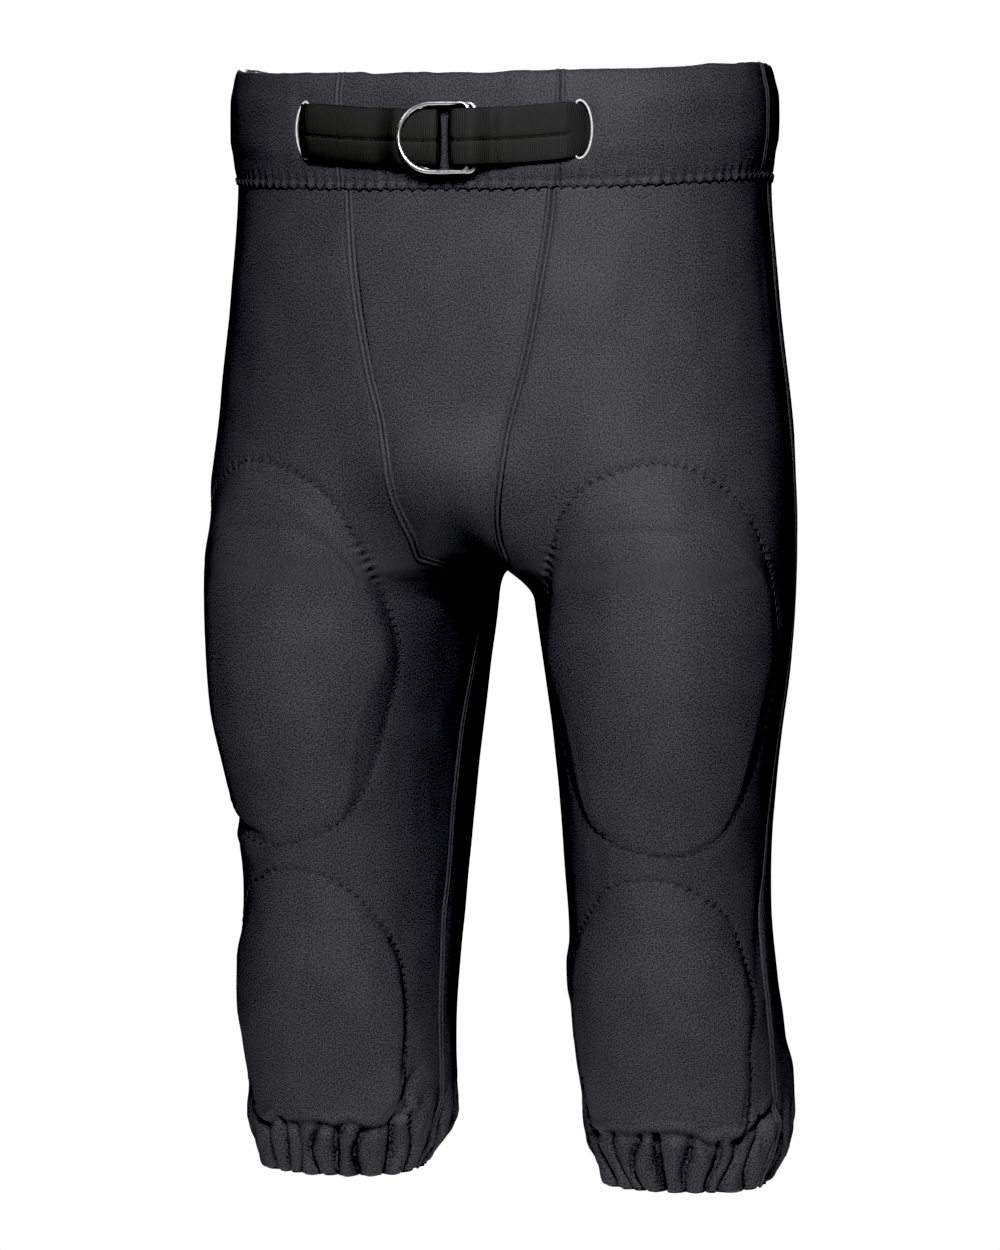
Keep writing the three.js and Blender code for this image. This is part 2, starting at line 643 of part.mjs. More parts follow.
// ---- foam pads and the lining that closes each pocket ----
// Rows run upwards: level, inner edge angle, outer edge angle.
const THIGH_PAD_EDGE = [
  [-433, 0, 26], [-424, -8, 35], [-402, -13, 41], [-375, -16, 45], [-348, -21, 50], [-323, -29, 57],
  [-300, -26, 56], [-277, -19, 52], [-260, -11, 40], [-248, -5, 28],
];
const THIGH_POCKET_EDGE = [
  [-441, 4, 24], [-431, -10, 38], [-402, -25, 51], [-375, -32, 57], [-348, -37, 63], [-318, -40, 69],
  [-291, -33, 66], [-265, -25, 58], [-240, -17, 51], [-221, -8, 41], [-206, 2, 22],
];
const KNEE_PAD_EDGE = [
  [-617, -38, 42], [-600, -42, 46], [-575, -44, 47], [-550, -46, 50], [-530, -48, 50],
  [-512, -46, 47], [-500, -32, 36], [-491, -20, 24],
];
const KNEE_POCKET_EDGE = [
  [-624, -44, 46], [-605, -50, 50], [-575, -50, 54], [-545, -52, 58], [-525, -49, 58],
  [-505, -40, 52], [-483, -27, 44], [-466, -15, 30], [-457, -3, 18],
];
const edgeAt = (rows, z, side) => linear(rows.map((r) => [r[0], r[side]]), z) * DEG;
const PAD_COLUMNS = [0, 0.08, 0.22, 0.36, 0.5, 0.64, 0.78, 0.92, 1];
function padLevels(rows) {
  const low = rows[0][0];
  const high = rows[rows.length - 1][0];
  const shared = LEVELS.filter((z) => z > low + 8 && z < high - 8);
  return [low, low + 5, ...shared.reverse(), high - 5, high];
}
const PAD_SKIN = CLOTH + 1.5; // depth of the pad's outer face below the cloth's outer face
function pad(rows, thick) {
  const levels = padLevels(rows);
  const last = levels.length - 1;
  const grid = (inside) => levels.map((z, i) => PAD_COLUMNS.map((t, j) => {
    const a = mix(edgeAt(rows, z, 1), edgeAt(rows, z, 2), t);
    const rim = i === 0 || i === last || j === 0 || j === PAD_COLUMNS.length - 1;
    const depth = inside ? thick * (rim ? 0.65 : 1) : (rim ? thick * 0.2 : 0);
    return cloth(a, z, PAD_SKIN + depth);
  }));
  return sheet(grid(false), grid(true));
}
function pocket(padRows, pocketRows, thick) {
  const inner = padLevels(padRows);
  const low = pocketRows[0][0];
  const high = pocketRows[pocketRows.length - 1][0];
  const levels = [low, inner[0] - 3, ...inner, inner[inner.length - 1] + 3];
  levels.push(mix(inner[inner.length - 1] + 3, high, 0.55), high);
  const deep = PAD_SKIN + thick + 0.5;
  const shallow = CLOTH + 1.1;
  const top = levels.length - 1;
  const grid = (extra) => levels.map((z, i) => {
    const pz = Math.min(Math.max(z, padRows[0][0]), padRows[padRows.length - 1][0]);
    const pa = edgeAt(padRows, pz, 1);
    const pb = edgeAt(padRows, pz, 2);
    const a = Math.min(edgeAt(pocketRows, z, 1), i === 0 || i >= top - 1 ? 9 : pa - 5 * DEG);
    const b = Math.max(edgeAt(pocketRows, z, 2), i === 0 || i >= top - 1 ? -9 : pb + 5 * DEG);
    const margin = 2.2 * DEG;
    const inside = PAD_COLUMNS.map((t) => mix(pa, pb, t));
    const flat = i === 0 || i === top || i === top - 1;
    const columns = flat
      ? [a, mix(a, b, 0.04), ...PAD_COLUMNS.map((t) => mix(mix(a, b, 0.1), mix(a, b, 0.9), t)),
        mix(a, b, 0.96), b]
      : [a, pa - margin, ...inside, pb + margin, b];
    return columns.map((phi, j) => {
      const edge = i === 0 || i === top || j === 0 || j === columns.length - 1;
      const rise = i === top - 1 ? 0.35 : 1;
      return cloth(phi, z, edge ? shallow + extra : mix(shallow, deep, rise) + extra);
    });
  });
  return sheet(grid(0), grid(POCKET_CLOTH));
}
addPair('thigh_pad', pad(THIGH_PAD_EDGE, THIGH_PAD), foam);
addPair('thigh_pocket_lining', pocket(THIGH_PAD_EDGE, THIGH_POCKET_EDGE, THIGH_PAD), lining);
addPair('knee_pad', pad(KNEE_PAD_EDGE, KNEE_PAD), foam);
addPair('knee_pocket_lining', pocket(KNEE_PAD_EDGE, KNEE_POCKET_EDGE, KNEE_PAD), lining);

// ---- hems: folded casing with an elastic inside ----
const HEM_OUTSIDE = [
  [0, HEM_TOP], [0, -643], [0.3, -652], [2.2, HEM_BOTTOM], [4, -652], [4.4, -643], [4.2, HEM_TOP],
];
const HEM_INSIDE = [
  [1, HEM_TOP - 1.2], [1, -643], [1.3, -651], [2.2, HEM_BOTTOM + 1.6], [3, -651], [3.4, -643],
  [3.2, HEM_TOP - 1.2],
];
const hemAngles = stations(frontSeam(-640) + 0.003, frontSeam(-640) + 360 * DEG - 0.003, 22);
const hemLoop = (list) => hemAngles.map((phi) => list.map(([d, z]) => clothLevel(phi, z, d)));
addPair('hem_casing', tube(hemLoop(HEM_OUTSIDE), hemLoop(HEM_INSIDE)), knit);
const ELASTIC = [[1.5, -634], [1.5, -650], [1.5 + ELASTIC_THICK, -650], [1.5 + ELASTIC_THICK, -634]];
const elasticLoops = hemAngles.slice(0, -1).map((phi) => ELASTIC.map(([d, z]) => clothLevel(phi, z, d)));
addPair('hem_elastic', sweep(elasticLoops, true), rubber);

export default group;
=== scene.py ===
# Padded football pants: the fabric, webbing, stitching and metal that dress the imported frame.
# Lengths are worked out in millimetres and written to Blender in metres.
import math
from functools import partial

import bpy
import numpy as np
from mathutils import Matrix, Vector
from mathutils.kdtree import KDTree


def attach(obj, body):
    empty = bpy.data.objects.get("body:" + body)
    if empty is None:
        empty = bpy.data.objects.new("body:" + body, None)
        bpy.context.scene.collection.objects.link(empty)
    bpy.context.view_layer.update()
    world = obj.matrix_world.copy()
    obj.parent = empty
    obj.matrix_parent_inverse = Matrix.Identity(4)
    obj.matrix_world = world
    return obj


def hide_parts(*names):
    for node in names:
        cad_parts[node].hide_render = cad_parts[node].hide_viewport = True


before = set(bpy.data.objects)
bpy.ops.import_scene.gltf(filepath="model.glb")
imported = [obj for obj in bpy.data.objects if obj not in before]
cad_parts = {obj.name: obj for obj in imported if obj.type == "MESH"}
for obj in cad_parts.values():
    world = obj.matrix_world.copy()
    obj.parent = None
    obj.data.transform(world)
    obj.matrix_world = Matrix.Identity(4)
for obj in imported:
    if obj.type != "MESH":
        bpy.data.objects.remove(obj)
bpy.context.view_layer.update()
MM = 0.001
TURN = 2 * math.pi
LEFT, RIGHT = 1, -1
SIDE_NAME = {LEFT: "left", RIGHT: "right"}

# ---- the garment's shape, as the frame has it ----
TORSO = [(60, 170, 113, 116), (0, 171, 114, 117), (-37, 168, 111, 114.5), (-100, 172, 116, 124),
         (-170, 180, 117, 130), (-235, 184, 119, 128), (-300, 186, 120, 116)]
LEG = [(-190, 101, 6, 83, 116), (-285, 102.3, 10, 80.7, 115), (-340, 104, 9.8, 74.8, 113),
       (-370, 104, 10.2, 71, 109), (-400, 103.2, 11.5, 67.5, 102), (-430, 102.5, 14, 65, 94),
       (-460, 102.5, 16.5, 63.5, 87), (-490, 104, 17, 63, 83), (-520, 106, 16, 64.5, 78),
       (-550, 108.5, 18, 65.6, 73), (-580, 110, 24, 66, 67), (-610, 111, 32, 64, 66),
       (-630, 112, 34, 60.5, 62), (-655, 113, 32, 56, 52)]
FRONT_SEAM = [(31, -18.5), (-40, -19), (-105, -21.5), (-165, -26.5), (-226, -35), (-262, -48)]
SIDE_SEAM = [(31, 90), (-40, 97), (-100, 100), (-300, 96), (-431, 82), (-495, 74), (-600, 72),
             (-655, 64)]
TOE_OUT = math.radians(12)
SQUARE_LEG = 2.15
SQUARE_TORSO = 2.25
BLEND_LOW, BLEND_HIGH = -290, -165
CROTCH = -278
GUSSET_TIP = -140
CLOTH = 1.0
WAIST = -37          # lower edge of the waistband
HEM_TOP, HEM_FOLD = -631, -655
SEAM_FRONT, SEAM_SIDE = 71, 222
SLOT = {LEFT: 81.5, RIGHT: -93.5}
BELT_DIP = 8
SIDE_RISE, BACK_DROP = 9, 5
TAUT = 32            # how far the cloth bridges the hollow between the legs


def ease(x):
    c = np.clip(x, 0, 1)
    return c * c * (3 - 2 * c)


def mix(a, b, t):
    return a + (b - a) * t


def hermite(s, a, b, slope_a, slope_b):
    """Cubic from a to b with the given slopes, at s between 0 and 1."""
    return ((2 * s**3 - 3 * s * s + 1) * a + (s**3 - 2 * s * s + s) * slope_a
            + (3 * s * s - 2 * s**3) * b + (s**3 - s * s) * slope_b)


def table(rows, z):
    """Smooth curves through the columns of rows, read at the levels z."""
    r = np.array(sorted(rows), float)
    z = np.clip(np.asarray(z, float), r[0, 0], r[-1, 0])
    step = np.diff(r, axis=0)
    slope = step[:, 1:] / step[:, :1]
    m = np.vstack([slope[:1], (slope[1:] + slope[:-1]) / 2, slope[-1:]])
    i = np.clip(np.searchsorted(r[:, 0], z, side="right") - 1, 0, len(r) - 2)
    h = (r[i + 1, 0] - r[i, 0])[..., None]
    return hermite((z - r[i, 0])[..., None] / h, r[i, 1:], r[i + 1, 1:], h * m[i], h * m[i + 1])


def linear(rows, z):
    """Straight lines through rows of (level, value), read at the levels z."""
    r = np.array(sorted(rows), float)
    return np.interp(z, r[:, 0], r[:, 1])


def section(phi, z):
    """Outer face of the left half: angle round the leg centre (0 front, 90 outer) and level."""
    phi, z = np.broadcast_arrays(np.asarray(phi, float), np.asarray(z, float))
    cx, cy, p, q = np.moveaxis(table(LEG, z), -1, 0)
    sin, cos = np.sin(phi), np.cos(phi)
    leg = (np.abs(np.sin(phi - TOE_OUT) / p) ** SQUARE_LEG
           + np.abs(np.cos(phi - TOE_OUT) / q) ** SQUARE_LEG) ** (-1 / SQUARE_LEG)
    w = ease((z - BLEND_LOW) / (BLEND_HIGH - BLEND_LOW))
    half, front, back = np.moveaxis(table(TORSO, z), -1, 0)
    lo, hi = np.zeros_like(leg), np.full_like(leg, 500.0)
    for _ in range(32):
        m = (lo + hi) / 2
        y = -m * cos
        b = np.where(y < 0, front, back)
        inside = (np.abs((cx + m * sin) / half) ** SQUARE_TORSO + np.abs(y / b) ** SQUARE_TORSO) < 1
        lo, hi = np.where(inside, m, lo), np.where(inside, hi, m)
    r = leg * (1 - w) + lo * w
    return cx + r * sin, cy * (1 - w) - r * cos


def unit(v):
    return v / np.maximum(np.linalg.norm(v, axis=-1, keepdims=True), 1e-9)


def surface(phi, z):
    """Point on the outer face and its outward normal, before the waist's tilt."""
    x, y = section(phi, z)
    ax, ay = section(phi - 0.012, z)
    bx, by = section(phi + 0.012, z)
    cx, cy = section(phi, z - 1.2)
    dx, dy = section(phi, z + 1.2)
    zero = np.zeros_like(x)
    n = unit(np.cross(np.stack([bx - ax, by - ay, zero], -1),
                      np.stack([dx - cx, dy - cy, zero + 2.4], -1)))
    n[..., 0] *= ease(x / 14)
    return np.stack([x, y, np.broadcast_to(z, x.shape)], -1), unit(n)


def tilt(points):
    """The waist dips in front and a little behind, and the cloth is drawn taut over the crotch."""
    out = points.copy()
    x, y, z = (points[..., k] for k in range(3))
    taut = ease(1 - np.abs(x) / 72) * ease((z + 290) / 22) * ease((-165 - z) / 70)
    out[..., 1] -= TAUT * taut * ease((-y - 5) / 45)
    rise = SIDE_RISE * np.sin(np.clip((y + 114) / 150, 0, 1) * math.pi / 2)
    rise = rise - BACK_DROP * ease(y / 90)
    out[..., 2] += rise * ease((out[..., 2] + 200) / 160)
    return out


# ---- seam lines ----
def inner_angle(z):
    """Angle of the innermost point of the leg at each level."""
    lo, hi = np.full(np.shape(z), math.radians(-150)), np.full(np.shape(z), math.radians(-50))
    for _ in range(40):
        m1, m2 = mix(lo, hi, 1 / 3), mix(lo, hi, 2 / 3)
        less = section(m1, z)[0] < section(m2, z)[0]
        lo, hi = np.where(less, lo, m1), np.where(less, m2, hi)
    return (lo + hi) / 2


def angle_at(z, x, behind):
    """Angle, before or behind the innermost point, where the section reaches x."""
    lo = inner_angle(z)
    hi = np.full(np.shape(z), math.radians(-200 if behind else 10))
    for _ in range(36):
        m = (lo + hi) / 2
        near = section(m, z)[0] < x
        lo, hi = np.where(near, m, lo), np.where(near, hi, m)
    return (lo + hi) / 2


crotch_angle = float(inner_angle(np.array(CROTCH)))
crotch_half = float(section(crotch_angle, CROTCH)[0])
SADDLE = float(CROTCH)      # level of the cloth midway between the legs
while float(section(inner_angle(np.array(SADDLE)), SADDLE)[0]) > 0:
    SADDLE += 0.25


def front_seam(z):
    z = np.asarray(z, float)
    below = (mix(crotch_angle, np.radians(mix(-82, -80, (-500 - z) / 100)), ease((CROTCH - z) / 220))
             + np.radians(np.maximum(0, (-610 - z) / 45) * 10))
    t = np.clip((z - CROTCH) / (-262 - CROTCH), 0, 1)
    curve = mix(crotch_angle, math.radians(-48), np.sqrt(t) * 0.35 + t * 0.65)
    above = np.radians(table(FRONT_SEAM, z)[..., 0])
    return np.where(z <= CROTCH, below, np.where(t < 1, curve, above))


def back_seam(z):
    z = np.asarray(z, float)
    t = np.clip((z - CROTCH) / (GUSSET_TIP - CROTCH), 0, 1)
    x = np.maximum(crotch_half * (1 - t**1.15), 0.001)
    return np.where(z <= CROTCH, front_seam(z), angle_at(z, x, True)) + TURN


def side_seam(z):
    return np.radians(table(SIDE_SEAM, np.asarray(z, float))[..., 0])


# ---- outlines of pads and pockets: degrees round the leg, level ----
THIGH_PAD = [(-5, -247), (28, -247), (52, -278), (58, -320), (49, -349), (41, -403), (36, -424),
             (22, -433), (0, -433), (-13, -420), (-17, -375), (-22, -347), (-30, -320), (-21, -278)]
THIGH_STITCH = [(12, -203), (-10, -220), (-22, -255), (-32, -290), (-39, -326), (-34, -363),
                (-27, -396), (-15, -424), (4, -438), (22, -441), (40, -427), (54, -393),
                (65, -340), (69, -310), (61, -276), (50, -235), (32, -210)]
KNEE_PAD = [(-20, -491), (24, -491), (38, -502), (50, -516), (50, -590), (44, -612), (30, -621),
            (-25, -621), (-40, -612), (-48, -590), (-55, -530), (-54, -514), (-38, -502)]
KNEE_STITCH = [(-52, -624), (-50, -590), (-52, -547), (-44, -511), (-27, -484), (-10, -463),
               (6, -456), (22, -460), (42, -480), (54, -507), (60, -536), (54, -562), (54, -585),
               (45, -624)]
THIGH_SCALE, KNEE_SCALE = 1.45, 1.15      # mm of cloth per degree


def rounded(points, closed, per=10, corner=1.0):
    """A smooth line through the points, per steps to each of them."""
    p = np.array(points, float)
    n = len(p)
    out = []
    for i in range(n if closed else n - 1):
        if closed:
            a, b, c, d = p[i - 1], p[i], p[(i + 1) % n], p[(i + 2) % n]
        else:
            a, b, c, d = p[max(i - 1, 0)], p[i], p[i + 1], p[min(i + 2, n - 1)]
        out += [hermite(k / per, b, c, corner * (c - a) / 2, corner * (d - b) / 2)
                for k in range(per)]
    return np.array(out if closed else out + [p[-1]])


def line_field(points, u, z, scale, closed):
    """Distance to a line, length along it, and whether the point is inside when it is closed."""
    line = points * np.array([scale, 1.0])
    ends = np.roll(line, -1, 0) if closed else line[1:]
    starts = line if closed else line[:-1]
    q = np.stack([u * scale, z], -1).reshape(-1, 2)
    best = np.full(len(q), 1e9)
    along = np.zeros(len(q))
    inside = np.zeros(len(q), bool)
    run = 0.0
    for a, b in zip(starts, ends):
        d = b - a
        length = max(float(np.hypot(*d)), 1e-6)
        t = np.clip(((q - a) @ d) / length**2, 0, 1)
        dist = np.hypot(*(q - a - t[:, None] * d).T)
        near = dist < best
        best = np.where(near, dist, best)
        along = np.where(near, run + t * length, along)
        crosses = (a[1] > q[:, 1]) != (b[1] > q[:, 1])
        with np.errstate(divide="ignore", invalid="ignore"):
            at = a[0] + (q[:, 1] - a[1]) * d[0] / d[1]
        inside ^= crosses & (q[:, 0] < at)
        run += length
    return best.reshape(u.shape), along.reshape(u.shape), inside.reshape(u.shape)


OUTLINES = {
    "thigh": (rounded(THIGH_PAD, True, 6, 0.8), rounded(THIGH_STITCH, True), THIGH_SCALE),
    "knee": (rounded(KNEE_PAD, True, 6, 0.6), rounded(KNEE_STITCH, False), KNEE_SCALE),
}


# ---- value noise, the same on every run ----
class Noise:
    """Smooth noise between -1 and 1 on a repeating grid."""

    def __init__(self, seed):
        self.grid = np.random.default_rng(seed).uniform(-1, 1, (64, 64))

    def __call__(self, u, v):
        i, j = np.floor(u).astype(int), np.floor(v).astype(int)
        s, t = ease(u - i), ease(v - j)
        g = self.grid
        a, b = g[i % 64, j % 64], g[(i + 1) % 64, j % 64]
        c, d = g[i % 64, (j + 1) % 64], g[(i + 1) % 64, (j + 1) % 64]
        return mix(mix(a, b, s), mix(c, d, s), t)


# ---- folds ----
# Each fold: points (degrees, level), half width, height; a negative height is a valley.
FOLDS = {
    LEFT: [
        ([(78, -588), (69, -597), (52, -608), (40, -617), (20, -626)], 4.0, 2.6),
        ([(76, -598), (66, -606), (52, -616), (40, -625)], 3.0, -3.2),
        ([(80, -604), (70, -613), (58, -623)], 4.0, 2.4),
        ([(102, -560), (99, -600), (97, -624)], 10.0, 3.0),
        ([(84, -452), (76, -470), (68, -500), (66, -540)], 7.0, -1.8),
        ([(-66, -500), (-63, -520), (-64, -545)], 6.0, 1.8),
        ([(-70, -560), (-60, -592), (-52, -612)], 5.0, -1.6),
        ([(74, -240), (60, -300), (56, -345)], 9.0, -1.1),
    ],
    RIGHT: [
        ([(72, -165), (74, -235), (74, -320), (70, -380), (66, -425)], 15.0, -2.0),
        ([(34, -258), (36, -300), (34, -360), (30, -412)], 7.0, 2.0),
        ([(84, -540), (79, -590), (73, -624)], 11.0, -4.2),
        ([(48, -418), (41, -425), (28, -433), (14, -440)], 3.2, -3.4),
        ([(52, -432), (40, -441), (24, -448)], 5.0, 1.8),
        ([(-66, -580), (-56, -592), (-48, -606), (-38, -618), (-32, -628)], 4.0, -3.4),
        ([(-60, -602), (-53, -612), (-46, -624)], 4.0, 2.4),
        ([(-72, -600), (-64, -612), (-58, -626)], 4.0, 2.2),
        ([(66, -455), (60, -475), (64, -500)], 7.0, -1.6),
        ([(64, -235), (68, -262), (72, -300)], 6.0, -1.4),
    ],
}


def folds(u, z, side):
    """Height of all the folds of one side together."""
    total = np.zeros_like(u)
    for points, width, height in FOLDS[side]:
        p = np.array(points, float)
        dist, along, _ = line_field(p, u, z, KNEE_SCALE, False)
        length = np.hypot(*(np.diff(p, axis=0) * np.array([KNEE_SCALE, 1])).T).sum()
        ends = ease(along / (0.35 * length)) * ease((length - along) / (0.35 * length))
        total += height * ends * np.exp(-(dist / width) ** 2)
    return total


# ---- gathers at the hem ----
PLEATS = 25
ZIGZAG_PITCH = 5.6


class Gathers:
    """Irregular pleats round one hem: deep narrow valleys between round bulges."""

    def __init__(self, seed):
        r = np.random.default_rng(seed)
        step = 360 / PLEATS
        self.at = np.arange(PLEATS) * step + r.uniform(-0.36, 0.36, PLEATS) * step
        self.sway = r.uniform(-5.5, 5.5, PLEATS)
        self.phase = r.uniform(0, TURN, PLEATS)
        self.deep = r.uniform(0.55, 1.0, PLEATS)

    def __call__(self, u, z):
        """Height of the cloth, 0 in a deep valley and 1 on a bulge, and the valleys' spacing."""
        wave = u % 360
        t = (-616 - z) / 40
        low = np.full(u.shape, -1e9)
        high = np.full(u.shape, 1e9)
        depth_low, depth_high = np.ones(u.shape), np.ones(u.shape)
        for k in range(-1, PLEATS + 1):
            i = k % PLEATS
            centre = self.at[i] + 360 * ((k - i) // PLEATS)
            centre = centre + self.sway[i] * np.sin(t * 4.6 + self.phase[i])
            below = (centre <= wave) & (centre > low)
            low = np.where(below, centre, low)
            depth_low = np.where(below, self.deep[i], depth_low)
            above = (centre > wave) & (centre < high)
            high = np.where(above, centre, high)
            depth_high = np.where(above, self.deep[i], depth_high)
        gap = np.maximum(high - low, 1e-6)
        s = np.clip((wave - low) / gap, 0, 1)
        arch = np.sqrt(np.clip(1 - (2 * s - 1) ** 2, 0, 1))
        floor = 1 - mix(depth_low, depth_high, ease(s))
        return floor + (1 - floor) * arch, gap


GATHERS = {LEFT: Gathers(11), RIGHT: Gathers(23)}
SLOW = {LEFT: Noise(3), RIGHT: Noise(4)}
FAST = {LEFT: Noise(5), RIGHT: Noise(6)}


def pad_relief(name, u, z, plateau, flat, side):
    """A pad under the cloth: a level top, then cloth stretched down to the stitch line."""
    pad_line, stitch, scale = OUTLINES[name]
    closed = name == "thigh"
    to_pad, _, on_pad = line_field(pad_line, u, z, scale, True)
    to_stitch, along, inside = line_field(stitch, u, z, scale, closed)
    if not closed:
        left = linear([(zz, uu) for uu, zz in stitch if uu < 5], z)
        right = linear([(zz, uu) for uu, zz in stitch if uu > 5], z)
        inside = (u > left) & (u < right) & (z < stitch[:, 1].max())
    centre, half = (12, 64) if closed else (0, 57)
    top = plateau - flat * (half**2 - ((u - centre) * scale) ** 2)
    slope = to_stitch / np.maximum(to_stitch + to_pad, 1e-6)
    rim = 0.5 * np.exp(-(to_pad / 1.8) ** 2)
    tent = np.maximum(mix(plateau, top, 0.5), 1.0) * slope**1.3
    h = np.where(on_pad & inside, top * ease(to_stitch / 7) - rim,
                 np.where(inside, np.minimum(tent, np.maximum(top, 1.0)) - rim * slope, 0))
    pucker = np.cos(along * TURN / ZIGZAG_PITCH)
    h = h - (0.65 - 0.4 * pucker) * np.exp(-(to_stitch / 1.7) ** 2)
    h = h + 0.3 * pucker * np.exp(-((to_stitch - 2.6) / 2.0) ** 2)
    return h + 0.2 * FAST[side](along / 5, to_stitch / 40) * np.exp(-(to_stitch / 7) ** 2)


def drawn_in(around, z):
    """How far the hem's sides are drawn in by its elastic."""
    return 7.5 * ease((-628 - z) / 27) * ease((np.abs(around) - 50) / 30)


def relief(phi, z, side):
    """How far the cloth stands outside the frame's smooth surface, in mm."""
    u = (np.degrees(phi) + 180) % 360 - 180
    h = 0.55 * SLOW[side](u / 17 + 40, z / 46 + 40) + 0.28 * FAST[side](u / 7 + 20, z / 26 + 20)
    h = h * ease((WAIST - 4 - z) / 30) * ease((z + 628) / 24)
    h = h + pad_relief("thigh", u, z, 5.6, 0.0011, side)
    h = h + pad_relief("knee", u, z, 4.2, 0.0009, side) * ease((z + 627) / 7)
    h = h + folds(u, z, side)
    if side == RIGHT:
        # this thigh pad is turned inwards, so the cloth falls away from a ridge outside it
        bend = np.clip((u - 31) / 27, 0, 1) * ease((112 - u) / 45)
        h = h - 7.0 * bend * ease((-215 - z) / 45) * ease((z + 450) / 30)
    arch, gap = GATHERS[side](u, z)
    over_pad = ease((u + 58) / 14) * ease((56 - u) / 14)
    start = mix(-596, -617, over_pad) + 4 * SLOW[side](u / 9 + 7, z * 0 + 3)
    grow = ease((start - z) / mix(26, 9, over_pad))
    amount = np.clip(gap / 14, 0.5, 1.2) * 10.5
    h = h + grow * np.maximum(amount * (arch - 0.72), -7.4)
    h = h + grow * (0.8 * FAST[side](u / 4 + 9, z / 9) + 0.3 * FAST[side](u / 1.8, z / 5))
    # a lip of cloth stands over the pleats below the knee pad
    lip = np.exp(-((z - start - 2.5) / 3.0) ** 2) - 1.6 * np.exp(-((z - start + 4.5) / 3.2) ** 2)
    h = h + 1.5 * lip * over_pad - drawn_in(u, z)
    # the folded edge turns under
    return h - 3.2 * ease((HEM_FOLD + 3.0 - z) / 3.0)


# ---- mesh helpers ----
def running_length(path):
    return np.concatenate([[0], np.cumsum(np.linalg.norm(np.diff(path, axis=0), axis=-1))])


def read_along(where, run, values):
    """Rows of values, given at the lengths run, read at the lengths where."""
    return np.stack([np.interp(where, run, column) for column in values.T], -1)


def set_weave(mesh, weave):
    """Store lengths in mm along and across the fabric for its material to read."""
    layer = mesh.attributes.new("weave", "FLOAT_VECTOR", "POINT")
    layer.data.foreach_set("vector", np.asarray(weave, np.float32).ravel())


def make(name, points, faces, look, weave=None):
    mesh = bpy.data.meshes.new(name)
    flat = np.asarray(points, float).reshape(-1, 3) * MM
    mesh.from_pydata(flat.tolist(), [], faces)
    mesh.polygons.foreach_set("use_smooth", [True] * len(mesh.polygons))
    if weave is not None:
        set_weave(mesh, weave)
    mesh.materials.append(look)
    mesh.update()
    obj = bpy.data.objects.new(name, mesh)
    bpy.context.scene.collection.objects.link(obj)
    return obj


def grid_faces(rows, cols, base=0, flip=False, wrap=False):
    faces = []
    last = cols if wrap else cols - 1
    for i in range(rows - 1):
        a = base + i * cols
        for j in range(last):
            k = (j + 1) % cols
            quad = (a + j, a + k, a + cols + k, a + cols + j)
            faces.append(quad[::-1] if flip else quad)
    return faces


def weave_grid(across, down):
    """Weave coordinates from two sets of lengths, spread over their common shape."""
    across, down = np.broadcast_arrays(across, down)
    return np.stack([across, down, np.zeros(across.shape)], -1)


def grid_weave(points):
    """Lengths across and down a grid of points, for a weave that follows the cloth."""
    across = np.linalg.norm(np.diff(points, axis=1), axis=-1)
    u = np.concatenate([np.zeros((len(points), 1)), np.cumsum(across, 1)], 1)
    u = u - u[:, u.shape[1] // 2][:, None]
    down = np.linalg.norm(np.diff(points, axis=0), axis=-1).mean(1)
    return weave_grid(u, np.concatenate([[0], np.cumsum(down)])[:, None])


def shell(name, outer, inner, fabric, weave):
    """Closed sheet from matching grids of outer and inner points."""
    rows, cols = outer.shape[:2]
    n = rows * cols
    faces = grid_faces(rows, cols) + grid_faces(rows, cols, n, True)
    rim = ([(0, j) for j in range(cols)] + [(i, cols - 1) for i in range(1, rows)]
           + [(rows - 1, j) for j in range(cols - 2, -1, -1)]
           + [(i, 0) for i in range(rows - 2, 0, -1)])
    ids = [i * cols + j for i, j in rim]
    faces += [(a, a + n, b + n, b) for a, b in zip(ids, ids[1:] + ids[:1])]
    points = np.concatenate([outer.reshape(-1, 3), inner.reshape(-1, 3)])
    return make(name, points, faces, fabric, np.concatenate([weave.reshape(-1, 3)] * 2))


def mirror(points, side):
    return points * np.array([side, 1, 1])


def raised(points, normals, height, side):
    """Points at a height over the smooth surface, tilted with the waist, on one side."""
    return mirror(tilt(points + normals * height[..., None]), side)


def tube_points(path, across, outward, radius, sides=6):
    """Round wire along a path, with the two directions square to it."""
    q = np.arange(sides) / sides * TURN
    ring = radius * (np.cos(q)[None, :, None] * across[:, None] + np.sin(q)[None, :, None]
                     * outward[:, None])
    return path[:, None] + ring


def tube_mesh(rings, closed=False):
    """Points and faces of a skin over a row of rings."""
    n, k = rings.shape[:2]
    faces = grid_faces(n, k, wrap=True)
    if closed:
        faces += [((n - 1) * k + j, (n - 1) * k + (j + 1) % k, (j + 1) % k, j) for j in range(k)]
    else:
        faces += [tuple(range(k))[::-1], tuple((n - 1) * k + j for j in range(k))]
    return rings.reshape(-1, 3), faces


def gather(parts):
    """Join (points, faces) pairs into one."""
    points, faces, base = [], [], 0
    for p, f in parts:
        points.append(p)
        faces += [tuple(i + base for i in face) for face in f]
        base += len(p)
    return np.concatenate(points), faces


# ---- materials ----
def material(name, color, roughness, metallic=0.0, specular=0.5):
    m = bpy.data.materials.new(name)
    m.use_nodes = True
    bsdf = m.node_tree.nodes["Principled BSDF"]
    for socket, value in (("Base Color", (*color, 1)), ("Roughness", roughness),
                          ("Metallic", metallic), ("Specular IOR Level", specular)):
        bsdf.inputs[socket].default_value = value
    return m, m.node_tree, bsdf


